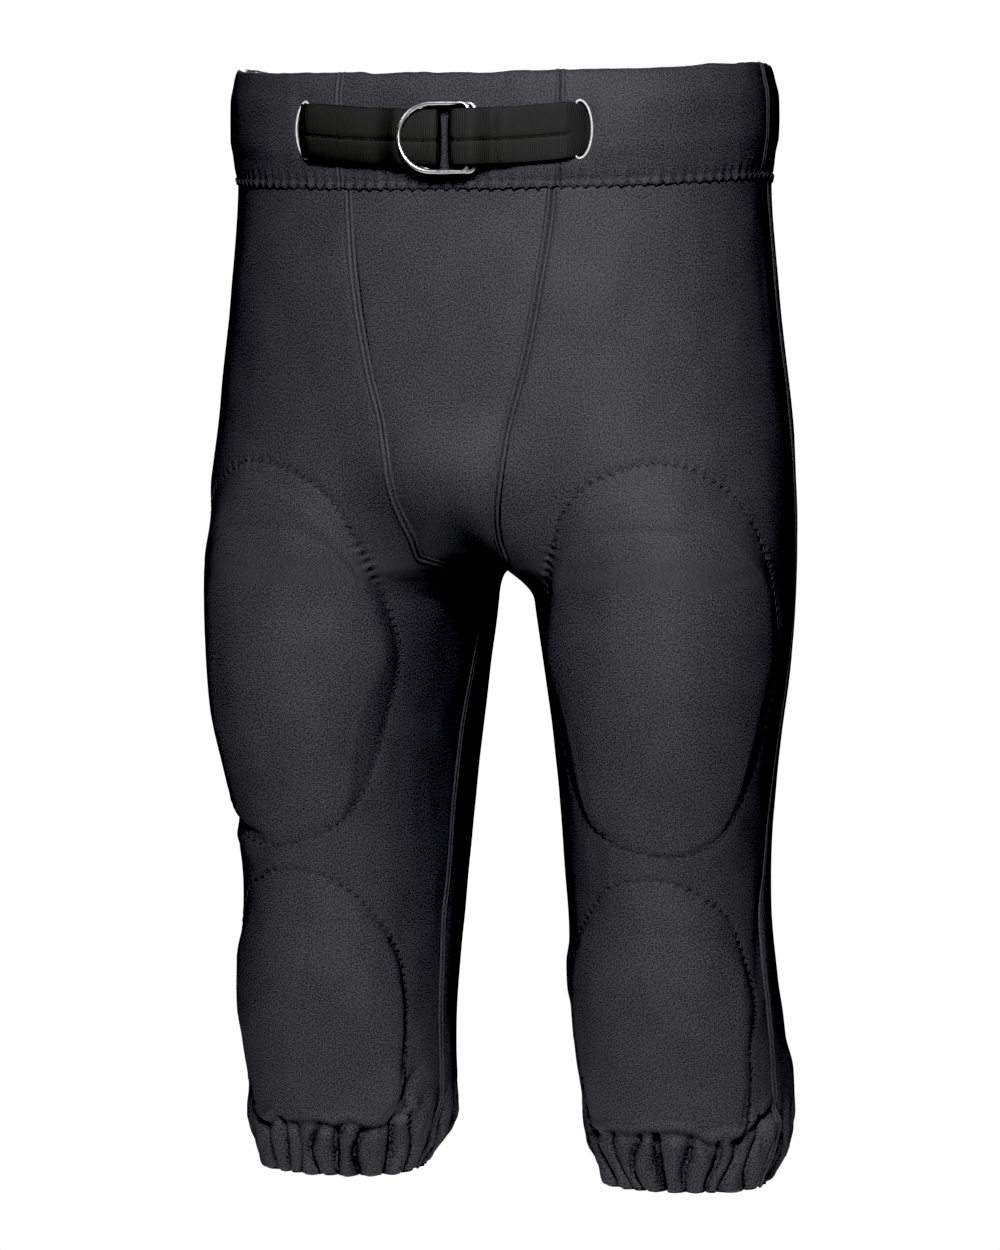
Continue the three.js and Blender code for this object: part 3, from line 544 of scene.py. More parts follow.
def node(tree, kind, inputs=None, **settings):
    """New node with its settings, and with its inputs linked or set."""
    n = tree.nodes.new(kind)
    for key, value in settings.items():
        setattr(n, key, value)
    for key, value in (inputs or {}).items():
        if isinstance(value, bpy.types.NodeSocket):
            tree.links.new(value, n.inputs[key])
        else:
            n.inputs[key].default_value = value
    return n


def math_node(tree, operation, a, b=0.0, c=0.0):
    return node(tree, "ShaderNodeMath", {0: a, 1: b, 2: c}, operation=operation).outputs[0]


def noise_node(tree, at, scale, detail, **more):
    inputs = {"Vector": at, "Scale": scale, "Detail": detail, **more}
    return node(tree, "ShaderNodeTexNoise", inputs).outputs[0]


def weave_nodes(tree):
    """The weave's coordinates in mm, whole and split."""
    at = node(tree, "ShaderNodeAttribute", attribute_name="weave").outputs["Vector"]
    x, y, _ = node(tree, "ShaderNodeSeparateXYZ", {0: at}).outputs
    return at, x, y


def shade(tree, bsdf, tone, dark, light, height, strength, depth, rough=None):
    """Colour between dark and light by tone, a bump by height, and a roughness."""
    ramp = node(tree, "ShaderNodeValToRGB", {0: tone})
    for element, color in zip(ramp.color_ramp.elements, (dark, light)):
        element.color = (*color, 1)
    bump = node(tree, "ShaderNodeBump", {"Height": height, "Strength": strength, "Distance": depth})
    tree.links.new(ramp.outputs[0], bsdf.inputs["Base Color"])
    tree.links.new(bump.outputs[0], bsdf.inputs["Normal"])
    if rough is not None:
        tree.links.new(rough, bsdf.inputs["Roughness"])


def scaled(color, factor):
    return [min(c * factor, 1) for c in color]


KNIT_WALE, KNIT_COURSE = 0.85, 0.75      # mm from one column and row of loops to the next
RIB, YARN = 1.25, 0.55                   # mm from one rib and yarn of the webbing to the next


def knit_material(name, base, contrast=1.0):
    """Fine stretch knit: wales and courses under 1 mm, a soft speckle and slow shade changes."""
    m, tree, bsdf = material(name, base, 0.66, specular=0.25)
    calc = partial(math_node, tree)
    at, x, y = weave_nodes(tree)
    wale = calc("SINE", calc("MULTIPLY", x, TURN / KNIT_WALE))
    row = calc("ADD", calc("MULTIPLY", y, TURN / KNIT_COURSE), calc("MULTIPLY", wale, 0.9))
    loops = calc("MULTIPLY_ADD", calc("MULTIPLY", wale, calc("SINE", row)), 0.5, 0.5)
    speck = noise_node(tree, at, 1.1, 3.0, Roughness=0.7)
    slow = noise_node(tree, at, 0.03, 2.0)
    tone = calc("MULTIPLY_ADD", speck, 5.0 * contrast, -2.5 * contrast)
    tone = calc("ADD", tone, calc("MULTIPLY", loops, 0.34))
    tone = calc("ADD", calc("ADD", tone, calc("MULTIPLY", slow, 0.30)), 0.18)
    height = calc("ADD", calc("MULTIPLY", loops, 0.6), speck)
    shade(tree, bsdf, tone, scaled(base, 0.36), scaled(base, 1.7), height, 0.28, 0.0003,
          calc("MULTIPLY_ADD", speck, 0.25, 0.5))
    return m


def webbing_material(name, base):
    """Narrow ribs across the webbing and a fine diagonal in the yarn."""
    m, tree, bsdf = material(name, base, 0.7, specular=0.3)
    calc = partial(math_node, tree)
    at, x, y = weave_nodes(tree)
    rib = calc("SINE", calc("MULTIPLY", x, TURN / RIB))
    yarn = calc("SINE", calc("ADD", calc("MULTIPLY", y, TURN / YARN), calc("MULTIPLY", x, 2.2)))
    fuzz = noise_node(tree, at, 1.6, 3.0)
    tone = calc("MULTIPLY_ADD", rib, 0.10, 0.26)
    tone = calc("ADD", tone, calc("MULTIPLY", yarn, 0.10))
    tone = calc("ADD", tone, calc("MULTIPLY", fuzz, 0.42))
    height = calc("ADD", rib, calc("MULTIPLY", yarn, 0.35))
    shade(tree, bsdf, tone, scaled(base, 0.5), scaled(base, 1.7), height, 0.3, 0.0003)
    return m


def grain_material(name, base, roughness, scale, spread, bump_depth, metallic=0.0):
    """Noise in colour, roughness and height, at a scale in 1/m of the object."""
    m, tree, bsdf = material(name, base, roughness, metallic)
    at = node(tree, "ShaderNodeTexCoord").outputs["Object"]
    grain = noise_node(tree, at, scale, 4.0)
    shade(tree, bsdf, grain, scaled(base, 1 - spread), scaled(base, 1 + spread), grain, 0.35,
          bump_depth, math_node(tree, "MULTIPLY_ADD", grain, 0.2, roughness - 0.1))
    return m


KNIT = (0.048, 0.047, 0.055)
knit = knit_material("stretch_knit", KNIT)
seam_knit = knit_material("seam_tape_knit", tuple(c * 1.1 for c in KNIT), 0.7)
lining = knit_material("pocket_lining", (0.03, 0.03, 0.034), 0.8)
webbing = webbing_material("ribbed_webbing", (0.0236, 0.0235, 0.0250))
thread = grain_material("grey_thread", (0.04, 0.039, 0.045), 0.6, 900, 0.5, 0.0001)
black_thread = grain_material("black_thread", (0.02, 0.02, 0.02), 0.6, 900, 0.4, 0.0001)
white_thread = grain_material("white_thread", (0.78, 0.78, 0.78), 0.6, 900, 0.12, 0.0001)
foam = grain_material("closed_cell_foam", (0.06, 0.06, 0.065), 0.85, 700, 0.3, 0.0004)
elastic = grain_material("covered_elastic", (0.55, 0.55, 0.53), 0.8, 600, 0.15, 0.0003)
chrome = grain_material("bright_plated_wire", (0.86, 0.87, 0.88), 0.3, 300, 0.03, 0.00003, 1.0)


# ---- attaching pieces to their bodies, hiding the parts they replace ----
def dress(obj, body, slot, *replaced):
    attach(obj, body)
    if replaced:
        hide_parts(*replaced)
    return obj


# ---- leg panels ----
ROWS_UP = np.concatenate([np.linspace(WAIST + 2.2, -252, 108), np.linspace(-252, CROTCH, 64)[1:]])
ROWS_DOWN = np.concatenate([np.linspace(CROTCH, -606, 160)[1:], np.linspace(-606, HEM_FOLD, 46)[1:]])
PANEL_ROWS = np.concatenate([ROWS_UP, ROWS_DOWN])
COLUMN_STEPS = np.linspace(0, 1, 128)


def under_band(z):
    """How far a panel's top edge sinks to let the waistband lap over it."""
    return 1.7 * ease((z - (WAIST - 2.2)) / 2.0)


def tuck(points):
    """How far a panel's side edges sink, so that the seams are grooves."""
    steps_in = np.minimum(np.arange(points.shape[1]), np.arange(points.shape[1])[::-1])
    spacing = np.linalg.norm(np.diff(points, axis=1), axis=-1).mean(1)[:, None]
    return 0.9 * np.exp(-(steps_in[None] * spacing / 2.4) ** 2)


def leg_panel(which, side):
    z = PANEL_ROWS
    a, b = (front_seam(z), side_seam(z)) if which == "front" else (side_seam(z), back_seam(z))
    phi = a[:, None] + (b - a)[:, None] * COLUMN_STEPS[None]
    zz = np.broadcast_to(z[:, None], phi.shape)
    points, normals = surface(phi, zz)
    h = relief(phi, zz, side) - tuck(points) - under_band(zz)
    weave = grid_weave(points)
    for j, k in ((0, 1), (-1, -2)):
        points[:, j] += unit(points[:, k] - points[:, j]) * 0.12
    obj = shell(f"{which}_leg_{SIDE_NAME[side]}", raised(points, normals, h, side),
                raised(points, normals, h - CLOTH, side), knit, weave)
    return dress(obj, "pants", "knit", f"{which}_leg_panel_{SIDE_NAME[side]}")


SMOOTHING = 420       # passes that even out the centre panel between its rows


def centre_panel():
    """The front panel, under the crotch and up to the gusset's tip behind."""
    z = ROWS_UP
    z0 = mix(z[0], SADDLE, (z - z[0]) / (CROTCH - z[0]))
    a0 = np.where(z0 <= SADDLE + 0.01, inner_angle(np.array(SADDLE)), angle_at(z0, 0, False))
    front = list(zip(a0, z0, front_seam(z), z))
    back_z = z[::-1][1:]
    back_z = back_z[back_z < GUSSET_TIP - 4]
    y0 = mix(SADDLE, GUSSET_TIP, (back_z - CROTCH) / (GUSSET_TIP - CROTCH))
    back = list(zip(angle_at(y0, 0, True), y0, back_seam(back_z) - TURN, back_z))
    rows = np.array(front + back)
    k = np.linspace(0, 1, 64)[None]
    phi = rows[:, 0:1] + (rows[:, 2:3] - rows[:, 0:1]) * k
    zz = rows[:, 1:2] + (rows[:, 3:4] - rows[:, 1:2]) * k
    points, normals = surface(phi, zz)
    points[:, 0, 0] = 0
    seam_dip = 0.75 * np.exp(-((1 - k) * 70 / 2.0) ** 2)
    slow = {side: SLOW[side](np.abs(np.degrees(phi)) / 15 + 3, zz / 40 + 9) for side in (LEFT, RIGHT)}
    faces = []
    for thickness in (0, CLOTH):
        halves = [raised(points, normals, 0.5 * slow[side] * ease(points[..., 0] / 25) - seam_dip
                         - under_band(zz) - thickness, side) for side in (RIGHT, LEFT)]
        grid = np.concatenate([halves[0][:, ::-1], halves[1][:, 1:]], 1)
        for _ in range(SMOOTHING):
            grid[:, 1:-1, 1:] += 0.25 * (grid[:, 2:, 1:] - 2 * grid[:, 1:-1, 1:] + grid[:, :-2, 1:])
        faces.append(grid)
    obj = shell("centre_front", *faces, knit, grid_weave(faces[0]))
    return dress(obj, "pants", "knit", "front_centre_panel")


# ---- seams and stitch lines ----
# Section of a covered seam: two low humps with a sunk needle line between and beside them.
SEAM_SECTION = np.array([(-3.3, -1.3), (-3.1, -0.3), (-2.6, 0.45), (-1.6, 0.75), (-0.8, 0.45),
                         (-0.15, -0.45), (0.15, -0.45), (0.8, 0.45), (1.6, 0.75), (2.6, 0.45),
                         (3.1, -0.3), (3.3, -1.3)])


STITCH_ROWS = (-2.75, 0.0, 2.75)
# Rows of stitches: from one to the next, length, thread radius and height over the fabric.
SEAM_STITCH, BELT_STITCH = (3.0, 2.1, 0.22, 0.16), (3.2, 2.3, 0.22, 0.1)
LOOP_STITCH = (2.4, 1.9, 0.26, 0.15)


def frames(path, normals):
    """Directions along, across and out of a path that lies on the cloth."""
    along = unit(np.gradient(path, axis=0))
    across = unit(np.cross(normals, along))
    return along, across, unit(np.cross(along, across))


def stitches(path, normals, offset, pitch, length, radius, lift):
    """Short lengths of thread laid in a row beside a path."""
    _, across, up = frames(path, normals)
    run = running_length(path)
    line = path + across * offset + up * lift
    parts = []
    for at in np.arange(pitch / 2, run[-1] - pitch / 2, pitch):
        where = at + np.array([-0.5, -0.3, 0.3, 0.5]) * length
        p, a, u = (read_along(where, run, values) for values in (line, across, up))
        p[[0, 3]] -= u[[0, 3]] * radius * 1.3
        parts.append(tube_mesh(tube_points(p, a, u, radius, 5)))
    return gather(parts)


def cloth_path(phi, z, side, extra=0.0):
    """A line over the dressed surface: its points and normals."""
    points, normals = surface(phi, z)
    return (raised(points, normals, relief(phi, z, side) + extra, side), mirror(normals, side))


def seam(strip_name, thread_name, path, normals):
    """A covered seam and its three rows of stitches."""
    _, across, up = frames(path, normals)
    profile = SEAM_SECTION[None]
    rings = path[:, None] + profile[..., :1] * across[:, None] + profile[..., 1:] * up[:, None]
    weave = weave_grid(profile[..., 0], running_length(path)[:, None])
    dress(make(strip_name, *tube_mesh(rings), seam_knit, weave), "pants", "knit")
    rows = [stitches(path, normals, offset, *SEAM_STITCH) for offset in STITCH_ROWS]
    dress(make(thread_name, *gather(rows), thread), "pants", "knit")


def cloth_seam(name, phi, z, side):
    seam(name, name + "_stitches", *cloth_path(phi, z, side))


def zigzag(name, path, normals, pitch, height, radius, closed=False):
    """Thread sewn from side to side along a path, three stitches to each leg of the zigzag."""
    _, across, up = frames(path, normals)
    run = running_length(path)
    count = max(int(round(run[-1] / pitch)), 1)
    steps = np.arange(count * 12 + 1) / 12
    where = steps / count * run[-1]
    swing = np.abs((steps % 1) * 2 - 1) * 2 - 1
    hop = np.abs(np.sin(steps * 6 * math.pi)) * 1.4 - 0.7
    p, a, u = (read_along(where, run, values) for values in (path, across, up))
    line = p + a * (swing * height / 2)[:, None] + u * (0.25 * hop)[:, None]
    _, side_on, top = frames(line, u)
    mesh = tube_mesh(tube_points(line, side_on, top, radius, 5), closed)
    dress(make(name, *mesh, thread), "pants", "knit")


# ---- waistband ----
def waist_contour(theta):
    """Outline of the waist: angle from centre front, positive to the left."""
    half, front, back = table(TORSO, 0.0)
    s, c = np.sin(theta), np.cos(theta)
    b = np.where(c > 0, front, back)
    r = (np.abs(s / half) ** SQUARE_TORSO + np.abs(c / b) ** SQUARE_TORSO) ** (-1 / SQUARE_TORSO)
    return np.stack([r * s, -r * c], -1)


theta_table = np.radians(np.arange(721) * 0.25)
waist_xy = waist_contour(theta_table)
arc_table = running_length(waist_xy)
HALF_WAIST = float(arc_table[-1])


def along_waist(s, depth, z):
    """Point a distance s round the waist from centre front, sunk by depth, at level z."""
    s, depth, z = np.broadcast_arrays(*(np.asarray(v, float) for v in (s, depth, z)))
    theta = np.sign(s) * np.interp(np.abs(s), arc_table, theta_table)
    p = waist_contour(theta)
    d = waist_contour(theta + 0.01) - waist_contour(theta - 0.01)
    n = unit(np.stack([d[..., 1], -d[..., 0]], -1))
    return np.concatenate([p - n * depth[..., None], z[..., None]], -1)


def along_out(s):
    """Outward direction a distance s round the waist."""
    return unit(along_waist(s, -1.0, 0 * s) - along_waist(s, 0.0, 0 * s))


def dip(s):
    """Level of the belt's middle, lowest in front."""
    return -BELT_DIP * (1 - ease(np.abs(s) / 170))


# Section of the band, as depth and level: its front from the hem to the top fold, then its back.
BAND_FRONT = [(1.7, -33), (0.5, -25), (-0.2, -10), (-0.2, 10), (0.7, 22), (2.4, 29), (4.6, 31.2)]
BAND_BACK = [(6.8, 29), (8.6, 20), (9.2, 0), (8.8, -20), (7.4, -36.4), (5.2, -38.2)]
band_line = rounded([(2.2, -38.6)] + BAND_FRONT + BAND_BACK, True, 5)
BAND_CLOTH, BAND_STEP = 1.1, 1.4
BAND_NOISE, BAND_FINE = Noise(31), Noise(37)


def band_relief(s, z, depth):
    """Belt showing through, gathers above the zigzag and a restless top fold."""
    front = ease((5 - depth) / 3)
    inside_slots = (s > SLOT[RIGHT]) & (s < SLOT[LEFT])
    reach = np.where(inside_slots, 0, ease((np.abs(s - mix(SLOT[RIGHT], SLOT[LEFT], 0.5)) - 93) / 8))
    belt = np.exp(-(np.maximum(np.abs(z - dip(s)) - 13, 0) / 6) ** 2)
    h = 1.3 * reach * belt
    h = h + 0.5 * BAND_NOISE(s / 26 + 9, z / 22 + 5) + 0.22 * BAND_FINE(s / 9 + 30, z / 12 + 3)
    low = np.exp(-((z + 36) / 7) ** 2)
    h = h + low * (0.35 * np.cos(s * TURN / 7.3) + 0.4 * BAND_FINE(s / 5, z / 30)) - 0.2 * low
    groove = -0.4 * np.exp(-((z + 34.5) / 1.6) ** 2)
    return (h + groove) * front


def band_piece(name, start, end, replaced):
    """One length of the waistband, a closed tube of double cloth between two seams."""
    s = np.linspace(start, end, int((end - start) / BAND_STEP))[:, None]
    d, z = band_line[None, :, 0], band_line[None, :, 1]
    away = unit(np.roll(band_line, -1, 0) - np.roll(band_line, 1, 0))
    away = np.stack([away[:, 1], -away[:, 0]], -1)
    if (away * (band_line - band_line.mean(0))).sum() < 0:
        away = -away
    ends = np.minimum(np.abs(s - start), np.abs(s - end))
    h = band_relief(s, z, d) - 0.75 * np.exp(-(ends / 2.0) ** 2) * ease((5 - d) / 3)
    wobble = 0.7 * BAND_NOISE(s / 21 + 50, s * 0) + 0.35 * BAND_FINE(s / 7 + 50, s * 0)
    z_out = z + away[None, :, 1] * h + wobble * ease((z - 18) / 12)
    deep, up = away[None, :, 0], away[None, :, 1]
    outer = along_waist(s, d + deep * h, z_out)
    inner = along_waist(s, d + deep * (h - BAND_CLOTH), z_out - up * BAND_CLOTH)
    n, k = outer.shape[:2]
    faces = grid_faces(n, k, wrap=True) + grid_faces(n, k, n * k, True, True)
    last = (n - 1) * k
    for j in range(k):
        m = (j + 1) % k
        faces.append((j, n * k + j, n * k + m, m))
        faces.append((last + m, n * k + last + m, n * k + last + j, last + j))
    weave = weave_grid(s, running_length(band_line)[None]).reshape(-1, 3)
    points = np.concatenate([tilt(outer).reshape(-1, 3), tilt(inner).reshape(-1, 3)])
    obj = make(name, points, faces, knit, np.concatenate([weave] * 2))
    return dress(obj, "pants", "knit", replaced)


SLOT_WIDTH, SLOT_HEIGHT = 15, 32.5
BINDING_PITCH, BINDING_RADIUS = 0.8, 0.25


def lens(centre, grow=0.0, count=20):
    """Outline of a slot pulled open by the belt: round on the far side, nearly straight near it."""
    far = math.copysign(1, centre)
    q = (1 - np.cos(np.linspace(0, math.pi, count))) / 2
    v = (1 - 2 * q) * (SLOT_HEIGHT / 2 + grow)
    bend = np.sqrt(np.clip(1 - (1 - 2 * q) ** 2, 0, 1))
    outer = centre + far * (1.0 + bend * (SLOT_WIDTH / 2 - 1.0 + grow))
    inner = centre + far * (1.0 - bend * (SLOT_WIDTH / 4 + grow))
    s = np.concatenate([outer, inner[::-1][1:-1]])
    z = np.concatenate([v, v[::-1][1:-1]]) + dip(centre)
    return s, z


def cut_slot(obj, side):
    """Cut the belt's slot through the band, and give the cut mesh its weave back."""
    s, z = lens(SLOT[side])
    front = tilt(along_waist(s, -6.0, z))
    back = tilt(along_waist(s, 3.6, z))
    n = len(s)
    faces = [tuple(range(n)), tuple(range(2 * n - 1, n - 1, -1))]
    faces += [(j, n + j, n + (j + 1) % n, (j + 1) % n) for j in range(n)]
    cutter = make("slot_cutter", np.concatenate([front, back]), faces, knit)
    bpy.context.view_layer.objects.active = cutter
    cutter.select_set(True)
    bpy.ops.object.mode_set(mode="EDIT")
    bpy.ops.mesh.select_all(action="SELECT")
    bpy.ops.mesh.normals_make_consistent(inside=False)
    bpy.ops.object.mode_set(mode="OBJECT")
    cutter.select_set(False)
    cut = obj.modifiers.new("slot", "BOOLEAN")
    cut.operation = "DIFFERENCE"
    cut.object = cutter
    cut.solver = "EXACT"
    bpy.context.view_layer.update()
    graph = bpy.context.evaluated_depsgraph_get()
    mesh = bpy.data.meshes.new_from_object(obj.evaluated_get(graph))
    old = obj.data
    tree = KDTree(len(old.vertices))
    for i, vertex in enumerate(old.vertices):
        tree.insert(vertex.co, i)
    tree.balance()
    weave = np.zeros(3 * len(old.vertices), np.float32)
    old.attributes["weave"].data.foreach_get("vector", weave)
    nearest = [tree.find(vertex.co)[1] for vertex in mesh.vertices]
    if "weave" in mesh.attributes:
        mesh.attributes.remove(mesh.attributes["weave"])
    set_weave(mesh, weave.reshape(-1, 3)[nearest])
    obj.modifiers.clear()
    obj.data = mesh
    bpy.data.objects.remove(cutter)


def binding(side):
    """Dense white zigzag thread round the slot's raw edge."""
    edges = []
    for grow in (1.7, 0.4):
        s, z = (np.append(v, v[0]) for v in lens(SLOT[side], grow, 60))
        edges.append(tilt(along_waist(s, -0.55 - band_relief(s, z, 0 * s), z)))
    outer, inner = edges
    run = running_length(inner)
    where = np.linspace(0, run[-1], int(run[-1] / BINDING_PITCH) * 2 + 1)
    t = (np.arange(len(where)) % 2)[:, None]
    line = read_along(where, run, inner) * (1 - t) + read_along(where, run, outer) * t
    line = np.repeat(line, 2, axis=0)
    up = np.repeat(unit(read_along(where, run, along_out(s))), 2, axis=0)[1:]
    line = line[:-1] * 0.5 + line[1:] * 0.5 + up * 0.1
    _, across, top = frames(line, up)
    mesh = tube_mesh(tube_points(line, across, top, BINDING_RADIUS, 5))
    obj = make(f"slot_thread_{SIDE_NAME[side]}", *mesh, white_thread)
    dress(obj, "pants", "white_thread", f"slot_binding_{SIDE_NAME[side]}")


# ---- belt ----
BELT_HALF, BELT_THICK = 17.2, 1.9
# Depths of the webbing's lengths, negative in front of the band and positive in its tunnel.
LOW, DOUBLE, HIGH, PROUD = -2.7, -5.2, -9.2, -12.3
LANE, DEEP_LANE = 3.03, 5.63
# Distances round the waist of the two folds and of the seam behind the sewn one.
TAIL_FOLD, SEWN_FOLD, STITCH_AT = -5.2, 11.0, 32.8
BELT_STEP = 0.62
MIDDLE = 8            # column of the belt's stitched centre line


def fold(centre, towards, radius, deep):
    """Half turn of the webbing round a ring's wire."""
    q = np.arange(1, 8) / 8 * math.pi
    return [(centre + towards * radius * math.sin(a), deep - radius + radius * math.cos(a))
            for a in q]


def belt_line():
    """The webbing's route: distance round the waist, and depth below the waistband's face."""
    near_l, far_l = SLOT[LEFT] - 7.5, SLOT[LEFT] + 7.5
    near_r, far_r = SLOT[RIGHT] + 7.5, SLOT[RIGHT] - 7.5
    sewn = [(38, LOW), (30, LOW), (21, LOW), (SEWN_FOLD, LOW)]
    sewn += fold(SEWN_FOLD, -1, (LOW - PROUD) / 2, LOW)
    sewn += [(SEWN_FOLD, PROUD), (19, PROUD), (23, -10.6), (29.5, -5.9), (33, DOUBLE), (39, DOUBLE),
             (44, -3.8), (49, LOW), (57, LOW), (66, LOW), (near_l, LOW), (near_l + 2, LOW + 0.6),
             (far_l - 3.6, LANE - 1.05), (far_l, LANE)]
    sides = [(s, LANE) for s in range(100, int(2 * HALF_WAIST) - 175, 8)]
    tail = [(-168, 3.5), (-150, 5.1), (-138, DEEP_LANE), (-124, DEEP_LANE), (far_r, DEEP_LANE),
            (far_r + 4.2, DEEP_LANE - 0.4), (near_r - 2, LOW + 0.6), (near_r, LOW)]
    tail += [(s, LOW) for s in (-74, -62, -50, -38, -28, -18, TAIL_FOLD)]
    tail += fold(TAIL_FOLD, 1, (LOW - HIGH) / 2, LOW)
    tail += [(TAIL_FOLD, HIGH), (-18, HIGH), (-27, HIGH), (-33, -7.0), (-40, DOUBLE), (-50, DOUBLE),
             (-62, DOUBLE), (-74, DOUBLE), (near_r, DOUBLE), (-91, DOUBLE + 0.4), (-96, -2.6),
             (far_r + 1.2, 1.6), (far_r - 2, LANE), (-112, LANE), (-124, LANE)]
    return sewn + sides + [(2 * HALF_WAIST + s, d) for s, d in tail]


def belt():
    """Ribbed webbing, fuller along its middle where it is free, with a stitched centre line."""
    route = rounded(belt_line(), False, 6, 0.9)
    s = np.where(route[:, 0] > HALF_WAIST, route[:, 0] - 2 * HALF_WAIST, route[:, 0])
    raw = along_waist(s, route[:, 1], 0 * s)
    run = running_length(raw)
    where = np.linspace(0, run[-1], int(run[-1] / BELT_STEP))
    mid = read_along(where, run, raw)
    for _ in range(2):
        mid[1:-1] = mid[1:-1] * 0.5 + (mid[:-2] + mid[2:]) * 0.25
    place = np.interp(where, run, np.unwrap(s * math.pi / HALF_WAIST) * HALF_WAIST / math.pi)
    place = (place + HALF_WAIST) % (2 * HALF_WAIST) - HALF_WAIST
    deep = np.interp(where, run, route[:, 1])
    level = dip(place)
    across_t = unit(np.gradient(mid, axis=0))
    n = np.stack([-across_t[:, 1], across_t[:, 0], np.zeros(len(mid))], -1)
    v = np.array([-1, -0.93, -0.8, -0.6, -0.4, -0.25, -0.17, -0.12, -0.07, 0.0, 0.15, 0.3, 0.5, 0.7,
                  0.85, 0.95, 1]) * BELT_HALF
    doubled = deep < -3.5
    tail = (where > where[-1] - 190) & doubled
    crown = np.where(tail, 1.0, 0.0) + np.where(doubled & ~tail, 0.45, 0.0)
    crown = np.convolve(np.pad(crown, 12, mode="edge"), np.ones(25) / 25, mode="valid")[:len(mid)]
    free = ease((-1.0 - deep) / 1.5)
    shape = 1 - (np.abs(v) / BELT_HALF) ** 2.6
    stitch = -0.7 * np.exp(-((v + 2.0) / 0.9) ** 2)
    rise = 2.3 * crown[:, None] * (shape[None] - 0.45) + stitch[None] * free[:, None]
    taper = np.clip(1 - (np.abs(v) / BELT_HALF) ** 10 * 0.55, 0.3, 1)
    half = BELT_THICK / 2 * taper[None]
    out = n * np.sign((n * along_out(place)).sum(-1))[:, None]
    # at the slots the webbing's edges are drawn together and turn in before its middle does
    at_slot = sum(np.exp(-((place - math.copysign(abs(x) + 6, x)) / 9.0) ** 2)
                  for x in SLOT.values())
    sense = np.where(where > where[-1] / 2, np.where(tail, 1.0, -1.0), 1.0)
    corner = 5.5 * (1 - np.sqrt(np.clip(1 - (0.95 * v / BELT_HALF) ** 2, 0, 1)))
    read_at = where[:, None] + sense[:, None] * at_slot[:, None] * corner[None]
    centre = read_along(read_at, where, mid)
    narrow = 1 - 0.10 * at_slot
    centre[..., 2] = level[:, None] + v[None] * narrow[:, None]
    up_side = centre + out[:, None] * (half + rise)[..., None]
    low_side = centre + out[:, None] * (rise * 0.8 - half)[..., None]
    rings = np.concatenate([up_side, low_side[:, ::-1]], 1)
    points, faces = tube_mesh(tilt(rings))
    weave = weave_grid(where[:, None], np.concatenate([v, v[::-1]])[None])
    dress(make("belt_webbing", points, faces, webbing, weave), "pants", "webbing", "belt")
    shown = np.where(deep < -1.5)[0]
    rows = []
    for g in np.split(shown, np.where(np.diff(shown) > 1)[0] + 1):
        if len(g) < 20:
            continue
        path = centre[g, MIDDLE] + out[g] * (half[:, MIDDLE] + rise[g, MIDDLE, None] + 0.05)
        rows += [stitches(tilt(path), out[g], offset, *BELT_STITCH) for offset in (0.9, -0.9)]
    # the seam that closes the loop round the rings
    end = np.where((np.abs(place - STITCH_AT) < 0.5) & doubled & ~tail)[0]
    if len(end):
        q = np.linspace(-1, 1, 30)
        bow = end[len(end) // 2] + ((q**2) * 5).astype(int)
        path = np.stack([mid[j] + np.array([0, 0, level[j] + t * (BELT_HALF - 1.5)])
                         + out[j] * (BELT_THICK / 2 + 0.675 * (0.65 - abs(t) ** 2.6))
                         for j, t in zip(bow, q)])
        rows.append(stitches(tilt(path), out[bow], 0.0, *LOOP_STITCH))
    dress(make("belt_stitches", *gather(rows), black_thread), "pants", "webbing")


# ---- rings ----
RING_WIRE, RING_STRAIGHT, RING_HALF, RING_CORNER = 3.0, 22.0, 20.5, 4.0


def d_ring(name, bar_at, bar_depth, end_depth, body):
    """Wire bent to a D: its straight bar stands in a fold of the belt."""
    origin = along_waist(bar_at, bar_depth, 0)
    end = along_waist(bar_at - RING_STRAIGHT - RING_HALF, end_depth, 0)
    e = unit(end - origin)
    o = np.array([-e[1], e[0], 0.0])
    h, corner = RING_HALF, RING_CORNER
    path = [(0, y) for y in np.linspace(-(h - corner), h - corner, 9)]
    path += [(corner - corner * math.cos(a), h - corner + corner * math.sin(a))
             for a in np.linspace(0, math.pi / 2, 7)[1:]]
    path += [(x, h) for x in np.linspace(corner, RING_STRAIGHT, 6)[1:]]
    path += [(RING_STRAIGHT + h * math.sin(a), h * math.cos(a))
             for a in np.linspace(0, math.pi, 45)[1:]]
    path += [(x, -h) for x in np.linspace(RING_STRAIGHT, corner, 6)[1:]]
    path += [(corner - corner * math.sin(a), -h + corner - corner * math.cos(a))
             for a in np.linspace(0, math.pi / 2, 7)[1:-1]]
    xz = np.array(path)
    line = origin + xz[:, :1] * e + (xz[:, 1:] + dip(0.0)) * np.array([0, 0, 1.0])
    side_on = unit(np.cross(unit(np.roll(line, -1, 0) - np.roll(line, 1, 0)), o))
    rings = tube_points(line, side_on, np.broadcast_to(o, side_on.shape), RING_WIRE / 2, 20)
    dress(make(name + "_wire", *tube_mesh(tilt(rings), True), chrome), body, "ring_metal", name)


# ---- pads and linings ----
PAD_THICKNESS = {"thigh": 10, "knee": 7.5}
POCKET_CLOTH = 0.7


def edge(line, z, right):
    """Left or right edge of an outline at the levels z."""
    beyond = line[:, 0] >= line[:, 0].mean()
    return linear([(b, a) for a, b in line[beyond == right]], z)


def pocket_grid(line, from_ends, from_sides, rows, columns):
    """Grid of degrees and levels inside an outline."""
    z = np.linspace(line[:, 1].min() + from_ends, line[:, 1].max() - from_ends, rows)
    a, b = edge(line, z, False) + from_sides, edge(line, z, True) - from_sides
    u = a[:, None] + (b - a)[:, None] * np.linspace(0, 1, columns)[None]
    return u, np.broadcast_to(z[:, None], u.shape)


